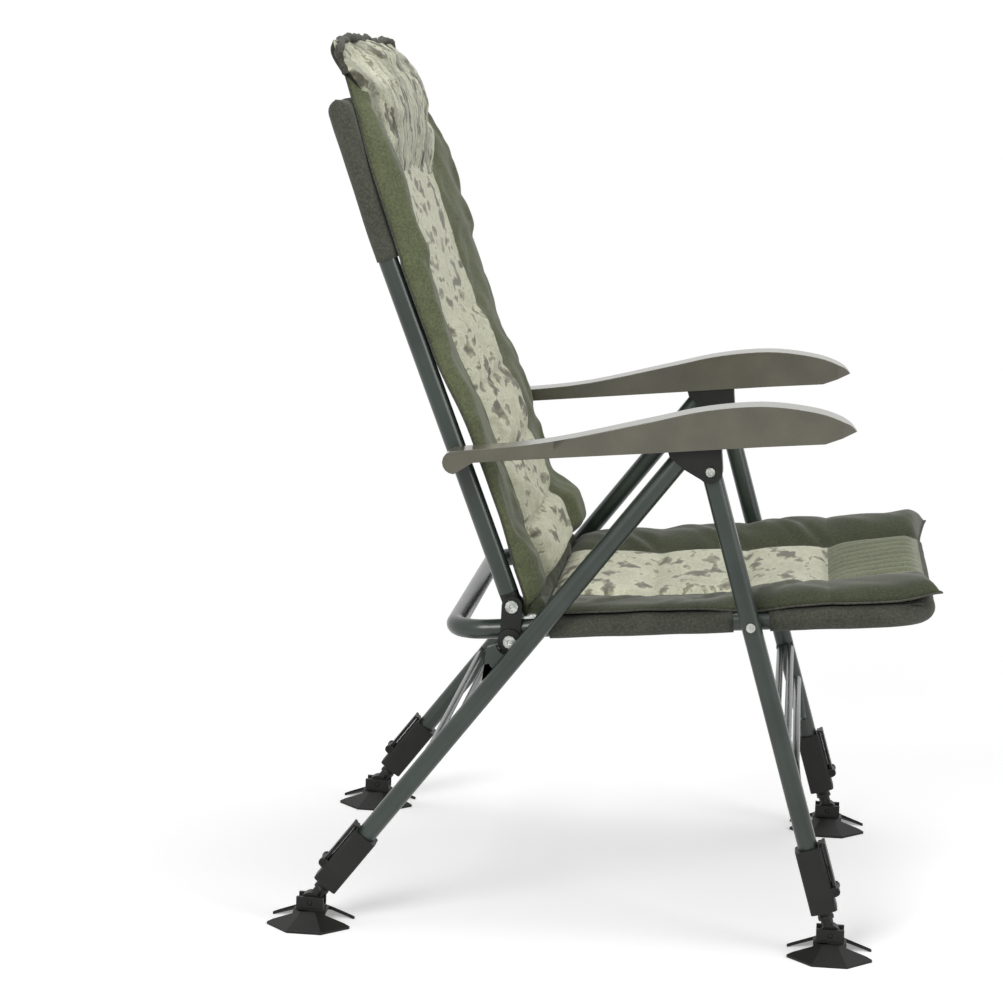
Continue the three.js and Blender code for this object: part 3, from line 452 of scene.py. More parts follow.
@dataclass(frozen=True)
class ZincPlate(Finish):
    """Zinc, electroplated on steel: pale and bright, with a slightly uneven sheen."""

    name: str = "zinc plated steel bright"
    pale: str = "#f0f1ed"
    dull: str = "#cfd2cc"
    cloud_mm: float = 5.0
    metallic: float = 0.7
    roughness: tuple[float, float] = (0.3, 0.45)

    def surface(self, tree: Tree, spot: Source, cut: Source) -> Surface:
        """Gives the zinc plate's constants and feeds."""
        cloud = clouds(tree, spot, self.cloud_mm, 4.0)
        return {"Metallic": self.metallic}, {
            "Base Color": ramp(tree, cloud, [(0.35, self.dull), (0.65, self.pale)]),
            "Roughness": spread(tree, cloud, *self.roughness),
        }


@dataclass(frozen=True)
class MouldedPlastic(Finish):
    """Injection moulded plastic: an even colour with a fine spark-eroded grain that breaks up its highlight."""

    name: str = "moulded nylon satin grain"
    deep: str = "#0f100e"
    light: str = "#1a1b18"
    grain_mm: float = 1.3
    cloud_mm: float = 40.0
    roughness: tuple[float, float] = (0.38, 0.52)
    bump: float = 0.2
    skin: float = 0.0

    def surface(self, tree: Tree, spot: Source, cut: Source) -> Surface:
        """Gives the moulded plastic's constants and feeds."""
        cloud = clouds(tree, spot, self.cloud_mm, 4.0)
        grain = clouds(tree, spot, self.grain_mm, 2.0)
        mixed = scaled_sum(tree, grain, 0.4, cloud)
        constants = {"Specular IOR Level": 0.32, "Coat Weight": self.skin, "Coat Roughness": 0.18}
        return constants, {
            "Base Color": ramp(tree, mixed, [(0.5, self.deep), (0.9, self.light)]),
            "Roughness": spread(tree, cloud, *self.roughness),
            "Normal": relief(tree, grain, self.bump, 0.3),
        }


@dataclass(frozen=True)
class WovenCloth(Finish):
    """Polyester, plain woven and dull: crossing threads with a grey-green fleck and a little sheen.

    The threads of the real cloth lie about 0.5 mm apart, too fine to show, so they are drawn coarser.
    """

    name: str = "woven polyester dull"
    deep: str = "#3f442f"
    light: str = "#6a7051"
    thread_mm: float = 2.2
    fleck_mm: float = 3.0
    cloud_mm: float = 60.0
    sheen: float = 0.25
    bump: float = 0.35

    def surface(self, tree: Tree, spot: Source, cut: Source) -> Surface:
        """Gives the woven cloth's constants and feeds, with its threads on the piece's flat cut."""
        # One band of the wave texture is a twentieth of a turn long at scale 1.
        drawing = {"Scale": 2 * math.pi / 20 * 1000 / self.thread_mm, "Detail": 1.0, "Detail Scale": 3.0}
        warp, weft = (
            add_node(
                tree,
                "ShaderNodeTexWave",
                {"bands_direction": way, "Distortion": 2.5, **drawing},
                {"Vector": cut},
            ).outputs[1]
            for way in ("X", "Y")
        )
        weave = add_node(tree, "ShaderNodeMath", {"operation": "MULTIPLY"}, {0: warp, 1: weft})
        fleck = clouds(tree, spot, self.fleck_mm, 2.0, Roughness=0.7)
        mixed = scaled_sum(tree, clouds(tree, spot, self.cloud_mm, 3.0), 0.45, fleck)
        tone = ramp(tree, mixed, [(0.42, self.deep), (1.02, self.light)])
        constants = {"Roughness": 0.82, "Specular IOR Level": 0.25}
        return constants | {"Sheen Weight": self.sheen, "Sheen Roughness": 0.5}, {
            "Base Color": tinted(tree, tone, weave, 0.12),
            "Normal": relief(tree, scaled_sum(tree, fleck, 0.5, weave), self.bump, 0.6),
        }


@dataclass(frozen=True)
class MottledPrint(Finish):
    """Brushed polyester, printed: a pale sage ground with soft-edged mottled patches in two darker tones.

    The mottle is a generic one of random patches. The pile's fleck is drawn coarser than the real one. Gathered
    cloth gets pleats that run along it, with painted shade darkening their hollows.
    """

    name: str = "brushed polyester mottled print"
    ground: str = "#cbccb3"
    ground_shade: str = "#b9b99f"
    middle: str = "#928f76"
    dark: str = "#5d5b49"
    patch_mm: float = 36.0
    across: float = 0.5
    along: float = 1.1
    fray_mm: float = 7.0
    fray_reach: tuple[float, float, float] = (0.016, 0.01, 0.0)
    fleck_mm: float = 2.6
    pleat_mm: float = 0.0
    pleat_stretch: float = 0.07

    def surface(self, tree: Tree, spot: Source, cut: Source) -> Surface:
        """Gives the print's constants and feeds, with its patches on the piece's flat cut.

        Args:
            tree: The node tree.
            spot: The place on the object.
            cut: The place on the piece's flat cut, in metres.

        Returns:
            The shader's constants and its feeds.
        """
        fray = clouds(tree, cut, self.fray_mm, 3.0).outputs[1]
        frayed = {"operation": "MULTIPLY_ADD", 1: self.fray_reach}
        swing = add_node(tree, "ShaderNodeVectorMath", frayed, {0: fray, 2: cut})
        shape = {"Scale": (self.across, self.along, 1.0)}
        stretched = add_node(tree, "ShaderNodeMapping", shape, {"Vector": swing})
        patch = clouds(tree, stretched, self.patch_mm, 3.0, Roughness=0.55, Distortion=0.3)
        rising = [(0.375, self.dark), (0.42, self.middle), (0.45, self.ground), (0.56, self.ground_shade)]
        falling = [(0.60, self.ground), (0.63, self.middle), (0.70, self.dark)]
        tones = ramp(tree, patch, rising + falling)
        fleck = clouds(tree, spot, self.fleck_mm, 2.0, Roughness=0.75)
        colour = tinted(tree, tones, spread(tree, fleck, 0.72, 1.12, 0.25, 0.75))
        normal = relief(tree, fleck, 0.3, 0.6)
        if self.pleat_mm:
            drawn = {"Scale": (1.0, self.pleat_stretch, 1.0)}
            run = add_node(tree, "ShaderNodeMapping", drawn, {"Vector": swing})
            pleats = clouds(tree, run, self.pleat_mm, 2.0, Roughness=0.5)
            normal = relief(tree, pleats, 0.9, 8.0, normal)
            # Painted shade: the colour darkens in the pleats' hollows.
            colour = tinted(tree, colour, spread(tree, pleats, 0.45, 1.05, 0.34, 0.56))
        constants = {"Roughness": 0.88, "Sheen Weight": 0.3, "Sheen Roughness": 0.6, "Specular IOR Level": 0.2}
        return constants, {"Base Color": colour, "Normal": normal}


def made(finish: Finish) -> Any:
    """Gives a wardrobe field whose material is built when the wardrobe is."""
    return field(default_factory=finish.material)


@dataclass
class Wardrobe:
    """Every material of the chair, made once."""

    steel: Material = made(PowderCoat())
    zinc: Material = made(ZincPlate())
    bolt: Material = made(
        ZincPlate("zinc plated steel turned", "#c9ccc6", "#969a93", metallic=1.0, roughness=(0.24, 0.38))
    )
    nylon: Material = made(MouldedPlastic())
    arm: Material = made(
        MouldedPlastic(
            "moulded polypropylene satin grain", "#4a483b", "#565445",
            grain_mm=1.8, roughness=(0.34, 0.44), bump=0.1, skin=0.8,
        )
    )
    woven: Material = made(WovenCloth())
    # The same woven cloth, made darker as painted shade, for the seat pad's borders and the waist roll.
    woven_painted_shade: Material = made(WovenCloth("woven polyester painted shade", "#282c1e", "#474c36"))
    backing: Material = made(
        WovenCloth("woven polyester backing", "#1c1f17", "#32352a", sheen=0.05)
    )
    ribbed: Material = made(WovenCloth("woven polyester ribbed", "#565b45", "#82876c", bump=0.3))
    sleeve: Material = made(
        WovenCloth("woven nylon coarse", "#2d2f28", "#55574c", thread_mm=2.6, sheen=0.1, bump=0.5)
    )
    printed: Material = made(MottledPrint())
    # Its pleats get painted shade in their hollows.
    printed_gathered: Material = made(
        MottledPrint(
            "brushed polyester mottled print gathered", "#cbccb4", "#b4b59c", "#8d8b75", "#605e4d",
            patch_mm=30.0, across=1.4, along=0.6, pleat_mm=15.0,
        )
    )
    gathered: Material = made(
        WovenCloth("elastic hem gathered", "#2b2b25", "#5a5a50", thread_mm=2.0, fleck_mm=4.0, sheen=0.1)
    )


# Carried-over CAD nodes


@dataclass
class HardParts:
    """The rigid CAD nodes, which keep their shape and get softened edges and their finishes."""

    finishes: Wardrobe
    crease: float = 36.0
    foot_crease: float = 12.0

    def smoothing(self, crease: float) -> Tree:
        """Makes the modifier that joins a node's faces and shades round surfaces smoothly.

        Args:
            crease: The angle in degrees past which an edge stays sharp.

        Returns:
            The geometry node tree.
        """
        tree = bpy.data.node_groups.new("joined and smoothed", "GeometryNodeTree")
        for way in ("INPUT", "OUTPUT"):
            tree.interface.new_socket("Geometry", in_out=way, socket_type="NodeSocketGeometry")
        flow = add_node(tree, "NodeGroupInput")
        angle = add_node(tree, "GeometryNodeInputMeshEdgeAngle")
        over = {"operation": "GREATER_THAN", 1: math.radians(crease)}
        sharp = add_node(tree, "ShaderNodeMath", over, {0: angle})
        shading = "GeometryNodeSetShadeSmooth"
        steps = (
            ("GeometryNodeMergeByDistance", {"Distance": 0.00001}, {}),
            ("GeometryNodeRemoveAttribute", {"Name": "custom_normal"}, {}),
            (shading, {"domain": "FACE", "Shade Smooth": True}, {}),
            (shading, {"domain": "EDGE", "Shade Smooth": False}, {"Selection": sharp}),
        )
        for kind, settings, feeds in steps:
            flow = add_node(tree, kind, settings, {"Geometry": flow, **feeds})
        add_node(tree, "NodeGroupOutput", feeds={0: flow})
        return tree

    def dress(self) -> None:
        """Softens the edges of every rigid node and gives it its finish."""
        worn = {
            "frame_paint": (self.finishes.steel, 0.35),
            "zinc": (self.finishes.zinc, 0.4),
            "black_plastic": (self.finishes.nylon, 0.9),
            "arm_plastic": (self.finishes.arm, 1.4),
        }
        smoothing = {angle: self.smoothing(angle) for angle in (self.crease, self.foot_crease)}
        slots = {part["node"]: part["material_slot"] for part in frame["record"]["subparts"]}
        rigid = {name: node for name, node in frame["nodes"].items() if slots[name] in worn}
        for name, node in rigid.items():
            finish, edge_mm = worn[slots[name]]
            crease = self.foot_crease if name.startswith("mud_foot") else self.crease
            for slot in node.material_slots:
                slot.material = self.finishes.bolt if "bolt" in name else finish
            joined = node.modifiers.new("joined and smoothed", "NODES")
            joined.node_group = smoothing[crease]
            edge = node.modifiers.new("soft edges", "BEVEL")
            edge.width = edge_mm * MM
            edge.segments = 2
            edge.limit_method = "ANGLE"
            edge.angle_limit = math.radians(crease)
            edge.harden_normals = True
        log.info("dressed %d rigid nodes", len(rigid))


@dataclass
class FrameTubes:
    """The bent tubes of the seat and the back, drawn with round bends in place of the CAD's stepped ones."""

    finish: Material
    rear_reach: float = 380.0
    front_reach: float = 216.0
    seat_joint: float = 60.0
    joint_gap: float = 0.3
    seat_bend: float = 48.0
    back_start: float = 17.0
    upper_length: float = 196.0
    back_bend_radius: float = 130.0
    back_corner: float = 62.0
    round_sides: int = 32
    end_crease: float = 50.0

    def seat_run(self, start: float, end: float) -> list[Vector]:
        """Gives the centre line of one half of the seat frame.

        Args:
            start: Where its two open ends are, along the seat.
            end: Where its closed end is, along the seat.

        Returns:
            The points of the centre line.
        """
        corners = ((start, -HALF_SEAT), (end, -HALF_SEAT), (end, HALF_SEAT), (start, HALF_SEAT))
        return rounded_path([SEAT_PLANE.place(*corner, 0) for corner in corners], [self.seat_bend * MM] * 2)

    def back_run(self) -> list[Vector]:
        """Gives the centre line of the back frame."""
        right, left = (
            [
                BACK_PLANE.place(0, across, self.back_start),
                BACK_PLANE.place(0, across, BACK_BEND_UP),
                upper_back(0, across, self.upper_length),
            ]
            for across in (-HALF_SEAT, HALF_SEAT)
        )
        radii = [self.back_bend_radius, self.back_corner, self.back_corner, self.back_bend_radius]
        return rounded_path([*right, *reversed(left)], [radius * MM for radius in radii], 3.0)

    def build(self) -> None:
        """Builds the three bent tubes."""
        runs = {
            "seat_frame_rear": (self.seat_run(self.seat_joint, -self.rear_reach), "seat"),
            "seat_frame_front": (self.seat_run(self.seat_joint + self.joint_gap, self.front_reach), "seat"),
            "back_frame": (self.back_run(), "backrest"),
        }
        for node, (run, body) in runs.items():
            tube = new_mesh(f"{node}_tube", *swept(run, lambda along, angle: TUBE_RADIUS * MM, self.round_sides))
            tube.data.set_sharp_from_angle(angle=math.radians(self.end_crease))
            wear(tube, self.finish)
            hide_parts(node)
            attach(tube, body)
            log.info("built %s", tube.name)


# Mattress


def stuff(piece: Piece, pins: Sequence[int], cap: float, growth: float) -> None:
    """Blows a padded piece up from inside with a cloth simulation, and keeps the result as its mesh.

    Args:
        piece: The closed padded piece.
        pins: The vertices that stay where they are, which are its seams and its rear face.
        cap: How far a point may move, in metres.
        growth: The share by which the cloth is longer than its flat shape, which makes it pucker.
    """
    group = piece.vertex_groups.new(name="seams")
    group.add(list(pins), 1.0, "REPLACE")
    cloth = piece.modifiers.new("stuffing", "CLOTH")
    settings = {
        "quality": 4, "mass": 0.3, "tension_stiffness": 15, "compression_stiffness": 15, "shear_stiffness": 5,
        "bending_stiffness": 0.4, "use_pressure": True, "uniform_pressure_force": 4, "shrink_min": -growth,
        "vertex_group_mass": group.name,
    }
    for name, value in settings.items():
        setattr(cloth.settings, name, value)
    cloth.settings.effector_weights.gravity = 0
    cloth.collision_settings.use_collision = False
    cloth.point_cache.frame_start = 1
    cloth.point_cache.frame_end = STUFFING_FRAMES
    scene = bpy.context.scene
    for step in range(1, STUFFING_FRAMES + 1):
        scene.frame_set(step)
    blown = piece.evaluated_get(bpy.context.evaluated_depsgraph_get()).data
    moved = [vertex.co.copy() for vertex in blown.vertices]
    piece.modifiers.remove(cloth)
    for vertex, after in zip(piece.data.vertices, moved):
        way = after - vertex.co
        if way.length > cap:
            way *= cap / way.length
        place = vertex.co + way
        place.y = max(-PAD_REACH * MM, min(PAD_REACH * MM, place.y))
        vertex.co = place
    piece.vertex_groups.clear()
    scene.frame_set(1)


def subdivided(piece: Piece) -> None:
    """Subdivides a piece once and keeps the result as its mesh."""
    smoother = piece.modifiers.new("finer", "SUBSURF")
    smoother.levels = 1
    finer = bpy.data.meshes.new_from_object(piece.evaluated_get(bpy.context.evaluated_depsgraph_get()))
    piece.modifiers.remove(smoother)
    old = piece.data
    piece.data = finer
    bpy.data.meshes.remove(old)
    piece.data.shade_smooth()


def lay_flat(piece: Piece, flat: Flat) -> None:
    """Maps a piece on its flat cut, from the flat corners of each face in metres."""
    cut = piece.data.uv_layers.new(name="cut")
    for face, spots in zip(piece.data.polygons, flat):
        for corner, spot in zip(face.loop_indices, spots):
            cut.data[corner].uv = spot


def lines_between(start: float, end: float, marks: Iterable[float], step: float) -> list[float]:
    """Spaces grid lines evenly, with one on each mark.

    Args:
        start: The first line.
        end: The last line.
        marks: Places that get a line of their own.
        step: About how far apart the lines are.

    Returns:
        The places of the lines.
    """
    stops = [start, *sorted(m for m in marks if start < m < end), end]
    lines = [start]
    for low, high in zip(stops, stops[1:]):
        count = max(1, round((high - low) / step))
        lines += [low + (high - low) * k / count for k in range(1, count + 1)]
    return lines


@dataclass
class QuiltedPad:
    """One padded length of the mattress: a printed panel between two plain borders, sewn across in channels.

    It is laid out flat: along it, across it, and up from its rear face.
    """

    name: str
    node: str
    body: str
    place: Callable[[float, float, float], Vector]
    start: float
    end: float
    half_width: float
    half_panel: float
    fill: float
    slot: str
    channels: tuple[float, ...] = ()
    seam_height: float = 0.0
    panel_crown: float = 0.0
    crowns: Measure = lambda along, across: 0.0
    edge: float = 4.0
    roll: float = 24.0
    corner: float = 3.0
    pinch: float = 0.0
    pucker: float = 1.6
    panel_end: float = FAR_OFF
    border_peak: float = 0.62
    border_droop: float = 0.15
    fold_depth: float = 0.0
    fold_slant: float = 0.8
    fold_run: float = 75.0
    quilting: float = 0.08
    bow: float = 0.0
    ear: float = 0.0
    growth: float = 0.05
    cap: float = 9.0
    seed: float = 0.0
    sections: Callable[[float], float] = lambda along: 1.0
    taper: Callable[[float], float] = lambda along: 1.0
    width: Callable[[float], float] = lambda along: 1.0

    def nearest(self, along: float) -> float:
        """Gives the distance to the nearest channel, in millimetres."""
        return min((abs(along - at) for at in self.channels), default=FAR_OFF)

    def puff_along(self, along: float) -> float:
        """Gives the rise of the stuffing between two channels, from 0 at a channel to 1 half way."""
        stops = [self.start, *self.channels, self.end]
        for low, high in zip(stops, stops[1:]):
            if low <= along <= high:
                share = (along - low) / (high - low)
                return (1 - abs(2 * share - 1) ** 2.6) ** 0.55
        return 0.0

    def panel_rise(self, along: float, across: float) -> float:
        """Gives how high the stuffed panel stands over its seams, with creases drawn in at the channels."""
        side = (1 - (abs(across) / self.half_panel) ** 6) ** 0.5
        rise = self.panel_crown * self.puff_along(along) * side * self.sections(along)
        folds = lumps(across / 9, along / 60, self.seed) * math.exp(-self.nearest(along) / 16)
        return rise + self.pucker * folds * side

    def border_rise(self, along: float, across: float) -> float:
        """Gives how high a border stands over its seam, with folds that run out from each channel.

        Args:
            along: The place along the pad.
            across: The place across the pad.

        Returns:
            The height, in millimetres.
        """
        seam = abs(across) - self.half_panel
        share = seam / (self.half_width - self.half_panel)
        side = math.sin(math.pi / 2 * min(1.0, share / self.border_peak)) ** 0.8
        side *= 1 - self.border_droop * max(0.0, (share - self.border_peak) / (1 - self.border_peak)) ** 2
        rise = self.crowns(along, across) * side * (1 - self.quilting + self.quilting * self.puff_along(along))
        folds = lumps(across / 22 + along / 40, along / 75, self.seed + 7)
        rise += self.pucker * 1.6 * folds * side
        for at in self.channels:
            for width, shift, depth in BORDER_FOLDS:
                line = along - at + shift + self.fold_slant * seam
                rise -= self.fold_depth * depth * math.exp(-((line / width) ** 2) - (seam / self.fold_run) ** 2)
        return rise

    def height(self, along: float, across: float) -> float:
        """Gives the height of the upper face over the rear face, before the edge is rolled in.

        Args:
            along: The place along the pad.
            across: The place across the pad.

        Returns:
            The height, in millimetres.
        """
        seam = abs(abs(across) - self.half_panel)
        on_panel = abs(across) <= self.half_panel
        rise = self.panel_rise(along, across) if on_panel else self.border_rise(along, across)
        tucks = lumps(along / 8, across / 50, self.seed + 3) * math.exp(-seam / 13)
        return (self.seam_height + rise + self.pucker * 0.8 * tucks) * self.taper(along)

    def point(self, along: float, across: float, top: bool) -> Vector:
        """Gives a point of one of the two faces.

        Args:
            along: The place along the pad.
            across: The place across the pad.
            top: Whether it is on the upper face.

        Returns:
            The point, in metres.
        """
        done = (along - self.start) / (self.end - self.start)
        drawn = self.corner * abs(2 * done - 1) ** 12
        drawn += self.pinch * math.exp(-((self.nearest(along) / 15) ** 2))
        wide = (self.half_width - drawn) * self.width(along)
        rim = min(self.half_width - abs(across), along - self.start, self.end - along)
        inside = min(max(rim, 0.0), self.roll) / self.roll
        round_in = math.sqrt(max(0.0, 1 - (1 - inside) ** 2))
        middle = self.edge / 2 * self.taper(along)
        reach = self.height(along, across) - middle if top else -middle
        off = abs(across) / self.half_width
        drawn_back = self.bow * (1 - off**4) * done**8
        lift = self.ear * math.exp(-(((1 - done) * 14) ** 2) - ((1 - off) * 7) ** 2)
        return self.place(along - drawn_back, across / self.half_width * wide, middle + reach * round_in + lift)

    def face_cloth(self, along: float, across: float) -> Cloth:
        """Gives the cloth that covers a place of the upper face."""
        if abs(across) > self.half_panel:
            return Cloth.WOVEN
        return Cloth.RIBBED if along > self.panel_end else Cloth.PRINTED

    def ribbed(self, piece: Piece) -> None:
        """Raises the ribs that are sewn along the plain front part, after the piece was made finer.

        Args:
            piece: The padded piece.
        """
        mesh = piece.data
        cut = mesh.uv_layers.active.data
        shift: dict[int, float] = {}
        for face in mesh.polygons:
            if face.material_index != Cloth.RIBBED.value:
                continue
            for corner in face.loop_indices:
                across, along = cut[corner].uv[0] / MM, cut[corner].uv[1] / MM
                wave = abs(math.sin(math.pi * (across + 6 * math.sin(along / 45)) / RIB_SPACING)) ** 0.7
                room = (self.half_panel - abs(across), self.end - 10 - along, along - self.panel_end)
                fade = max(0.0, min(1.0, room[0] / 10, room[1] / 14, 0.25 + room[2] / 30))
                shift[mesh.loops[corner].vertex_index] = (wave - 0.6) * RIB_HEIGHT * MM * fade
        normals = [vertex.normal.copy() for vertex in mesh.vertices]
        for index, depth in shift.items():
            mesh.vertices[index].co += normals[index] * depth

    def laid_out(
        self, alongs: Sequence[float], acrosses: Sequence[float]
    ) -> tuple[list[Vector], dict[tuple[int, int, bool], int], list[int]]:
        """Lays out the vertices of both faces, which share those of the rim.

        Args:
            alongs: The grid lines' places along the pad.
            acrosses: The grid lines' places across the pad.

        Returns:
            The points in metres, their numbers by grid line and face, and the numbers of those that stay put.
        """
        points: list[Vector] = []
        number: dict[tuple[int, int, bool], int] = {}
        pins: list[int] = []
        for top in (True, False):
            for i, along in enumerate(alongs):
                for j, across in enumerate(acrosses):
                    rim = i in (0, len(alongs) - 1) or j in (0, len(acrosses) - 1)
                    if rim and not top:
                        number[i, j, top] = number[i, j, True]
                        continue
                    number[i, j, top] = len(points)
                    channel = abs(across) <= self.half_panel + 1 and self.nearest(along) < TOUCHING
                    seam = abs(abs(across) - self.half_panel) < TOUCHING
                    if rim or channel or seam or not top:
                        pins.append(len(points))
                    points.append(self.point(along, across, top))
        return points, number, pins

    def cells(
        self, alongs: Sequence[float], acrosses: Sequence[float]
    ) -> list[tuple[list[tuple[int, int, bool]], list[tuple[float, float]], int]]:
        """Gives the faces of the grid.

        Args:
            alongs: The grid lines' places along the pad.
            acrosses: The grid lines' places across the pad.

        Returns:
            For each face its corners by grid line and face, its corners on the flat cut, and its cloth.
        """
        faces = []
        for top in (True, False):
            apart = 0 if top else 2 * self.half_width
            for i, (low, high) in enumerate(zip(alongs, alongs[1:])):
                for j, (right, left) in enumerate(zip(acrosses, acrosses[1:])):
                    corners = [(i, j), (i + 1, j), (i + 1, j + 1), (i, j + 1)]
                    if not top:
                        corners.reverse()
                    spots = [((acrosses[b] + apart) * MM, alongs[a] * MM) for a, b in corners]
                    cloth = self.face_cloth((low + high) / 2, (right + left) / 2) if top else Cloth.BACKING
                    faces.append(([(a, b, top) for a, b in corners], spots, cloth.value))
        return faces

    def build(self, cloths: Sequence[Material]) -> list[Vector]:
        """Args:
            cloths: Its cloths, in the order of `Cloth`.

        Returns:
            The points of its edge seam, in metres.
        """
        alongs = lines_between(self.start, self.end, [*self.channels, self.panel_end], PAD_GRID)
        panel = [-self.half_panel, self.half_panel]
        acrosses = lines_between(-self.half_width, self.half_width, panel, PAD_GRID)
        points, number, pins = self.laid_out(alongs, acrosses)
        cells = self.cells(alongs, acrosses)
        faces = [[number[corner] for corner in corners] for corners, _, _ in cells]
        piece = new_mesh(self.name, points, faces, outwards=False)
        wear(piece, *cloths)
        lay_flat(piece, [spots for _, spots, _ in cells])
        for face, (_, _, cloth) in zip(piece.data.polygons, cells):
            face.material_index = cloth
        last_row, last_column = len(alongs) - 1, len(acrosses) - 1
        around = [(0, j) for j in range(last_column)] + [(i, last_column) for i in range(last_row)]
        around += [(last_row, j) for j in range(last_column, 0, -1)] + [(i, 0) for i in range(last_row, 0, -1)]
        rim = [number[i, j, True] for i, j in around]
        sharp = piece.data.attributes.new("crease_edge", "FLOAT", "EDGE")
        for edge in piece.data.edges:
            sharp.data[edge.index].value = SEAM_CREASE if set(rim).issuperset(edge.vertices) else 0.0
        stuff(piece, pins, self.cap * MM, self.growth)
        subdivided(piece)
        self.ribbed(piece)
        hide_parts(self.node)
        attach(piece, self.body)
        log.info("built %s with %d vertices", self.name, len(piece.data.vertices))
        return [points[index] for index in rim]


@dataclass
class HeadPillow(QuiltedPad):
    """The head pillow: one printed bag, full in the middle and gathered along its top."""

    gather_reach: float = 120.0

    def height(self, along: float, across: float) -> float:
        """Gives the height of the pillow's front over its rear face.

        Args:
            along: The place along the pillow, upwards.
            across: The place across it.

        Returns:
            The height, in millimetres.
        """
        side = (1 - abs(across / (self.half_width + 4)) ** 3.2) ** 0.5
        middle = self.edge / 2
        top = math.exp(-(self.end - along) / self.gather_reach)
        low = math.exp(-(along - self.start) / (0.4 * self.gather_reach))
        pleat = lumps(across / 13, along / 140, self.seed) * 9.0 * top
        pleat += lumps(across / 10, along / 70, self.seed + 5) * 5.0 * low
        crease = lumps(across / 30, along / 150, self.seed + 2) * 4.0
        return middle + (self.sections(along) - middle) * side + pleat + crease


@dataclass
class Mattress:
    """The removable quilted mattress, in its three padded lengths and their edge trims."""

    finishes: Wardrobe
    sling_top: float = 14.6
    back_bottom: float = -8.0
    back_end: float = 702.0
    pillow_foot: float = 544.0
    pillow_top: float = 742.0

    def back_face(self, up: float) -> float:
        """Gives how far the padding's rear face lies ahead of the back tubes.

        Args:
            up: The height above the back pivot.

        Returns:
            The distance, in millimetres.
        """
        if up < BACK_BEND_UP:
            low = [(-10, 15.0), (30, 16.5), (120, 22.0), (220, 22.0)]
            return between([*low, (335, 12.8), (448, 12.8), (BACK_BEND_UP, self.sling_top)], up)
        return self.sling_top + (up - BACK_BEND_UP) * math.tan(math.radians(BACK_BEND))

    def on_seat(self, along: float, across: float, up: float) -> Vector:
        """Places a point of the seat pad."""
        droop = 6.5 * math.exp(-((along / 42) ** 2) - ((262 - abs(across)) / 22) ** 2)
        return SEAT_PLANE.place(along, across, self.sling_top + up - sling_dip(along, across) - droop)

    def on_back(self, along: float, across: float, up: float) -> Vector:
        """Places a point of the back pad or the hem."""
        return BACK_PLANE.place(self.back_face(along) + up, across, along)

    def on_pillow(self, along: float, across: float, up: float) -> Vector:
        """Places a point of the pillow, which is no wider than the panel at its foot and leans back at its top."""
        widths = [(544, 150), (560, 163), (600, 188), (650, 212), (700, 228), (742, 234)]
        rearward = between([(660, -3), (735, 12)], along)
        across *= between(widths, along) / widths[-1][1]
        return BACK_PLANE.place(self.back_face(along) + up - rearward, across, along)

    def seat_crowns(self, along: float, across: float) -> float:
        """Gives how high a border of the seat pad puffs up over its seam, in millimetres."""
        if across > 0:
            return between([(-262, 12), (-205, 19), (-60, 22), (20, 30), (234, 29)], along)
        return between([(-262, 4), (-60, 4), (30, 20), (234, 22)], along)

    def back_crowns(self, along: float, across: float) -> float:
        """Gives how far a border of the back pad puffs out over its seam, in millimetres."""
        if across > 0:
            return between([(-16, 30), (45, 32), (92, 4), (130, 8), (200, 13), (300, 18), (450, 22)], along)
        return between([(-16, 12), (40, 14), (95, 3), (190, 9), (300, 13), (420, 18), (550, 23)], along)

    def back_sections(self, along: float) -> float:
        """Gives how full the panel of the back pad is, as a share of its crown."""
        return between([(-16, 2.1), (60, 2.1), (90, 0.9), (352, 0.9), (420, 0.6), (702, 0.6)], along)

    def pillow_front(self, along: float) -> float:
        """Gives how far the pillow's front bulges ahead of its rear face, in millimetres."""
        low = [(544, 13), (556, 18), (575, 26), (605, 39)]
        return between([*low, (640, 46), (675, 45), (705, 38), (728, 26), (744, 13)], along)

    def seat(self) -> QuiltedPad:
        """Gives the seat pad."""
        return QuiltedPad(
            name="seat_pad", node="seat_cushion", body="seat", slot="mattress_cloth", place=self.on_seat,
            start=-262.0, end=238.0, half_width=262.0, half_panel=150.0, channels=(-133.0, -12.0, 98.0),
            seam_height=8.5, panel_crown=12.0, crowns=self.seat_crowns, fill=0.5, edge=9.0, pinch=4.0,
            border_peak=0.45, border_droop=0.5, fold_depth=7.0, quilting=0.15, bow=15.0, ear=9.0,
            panel_end=98.0, seed=1.5,
        )

    def back(self) -> QuiltedPad:
        """Gives the back pad, whose borders run on to points beside the head pillow."""
        return QuiltedPad(
            name="back_pad", node="back_cushion", body="backrest", slot="mattress_cloth", place=self.on_back,
            start=self.back_bottom, end=self.back_end, half_width=262.0, half_panel=158.0,
            channels=(74.0, 166.0, 262.0, 352.0), seam_height=14.0, panel_crown=12.0, crowns=self.back_crowns,
            fill=0.6, pucker=2.2, corner=4.0, pinch=1.5, fold_depth=3.0, fold_slant=-0.45, fold_run=42.0,
            quilting=0.03, growth=0.035, cap=6.0, seed=4.5, sections=self.back_sections,
            taper=lambda along: between([(-16, 1.0), (560, 1.0), (702, 0.4)], along),
            width=lambda along: between([(560, 1.0), (702, 0.86)], along),
        )

    def pillow(self) -> HeadPillow:
        """Gives the head pillow."""
        return HeadPillow(
            name="head_pillow", node="headrest_pillow", body="backrest", slot="printed_cloth",
            place=self.on_pillow, start=self.pillow_foot, end=self.pillow_top, half_width=234.0,
            half_panel=234.5, fill=0.75, edge=24.0, roll=30.0, corner=8.0, growth=0.07, cap=7.0, seed=9.5,
            sections=self.pillow_front,
        )

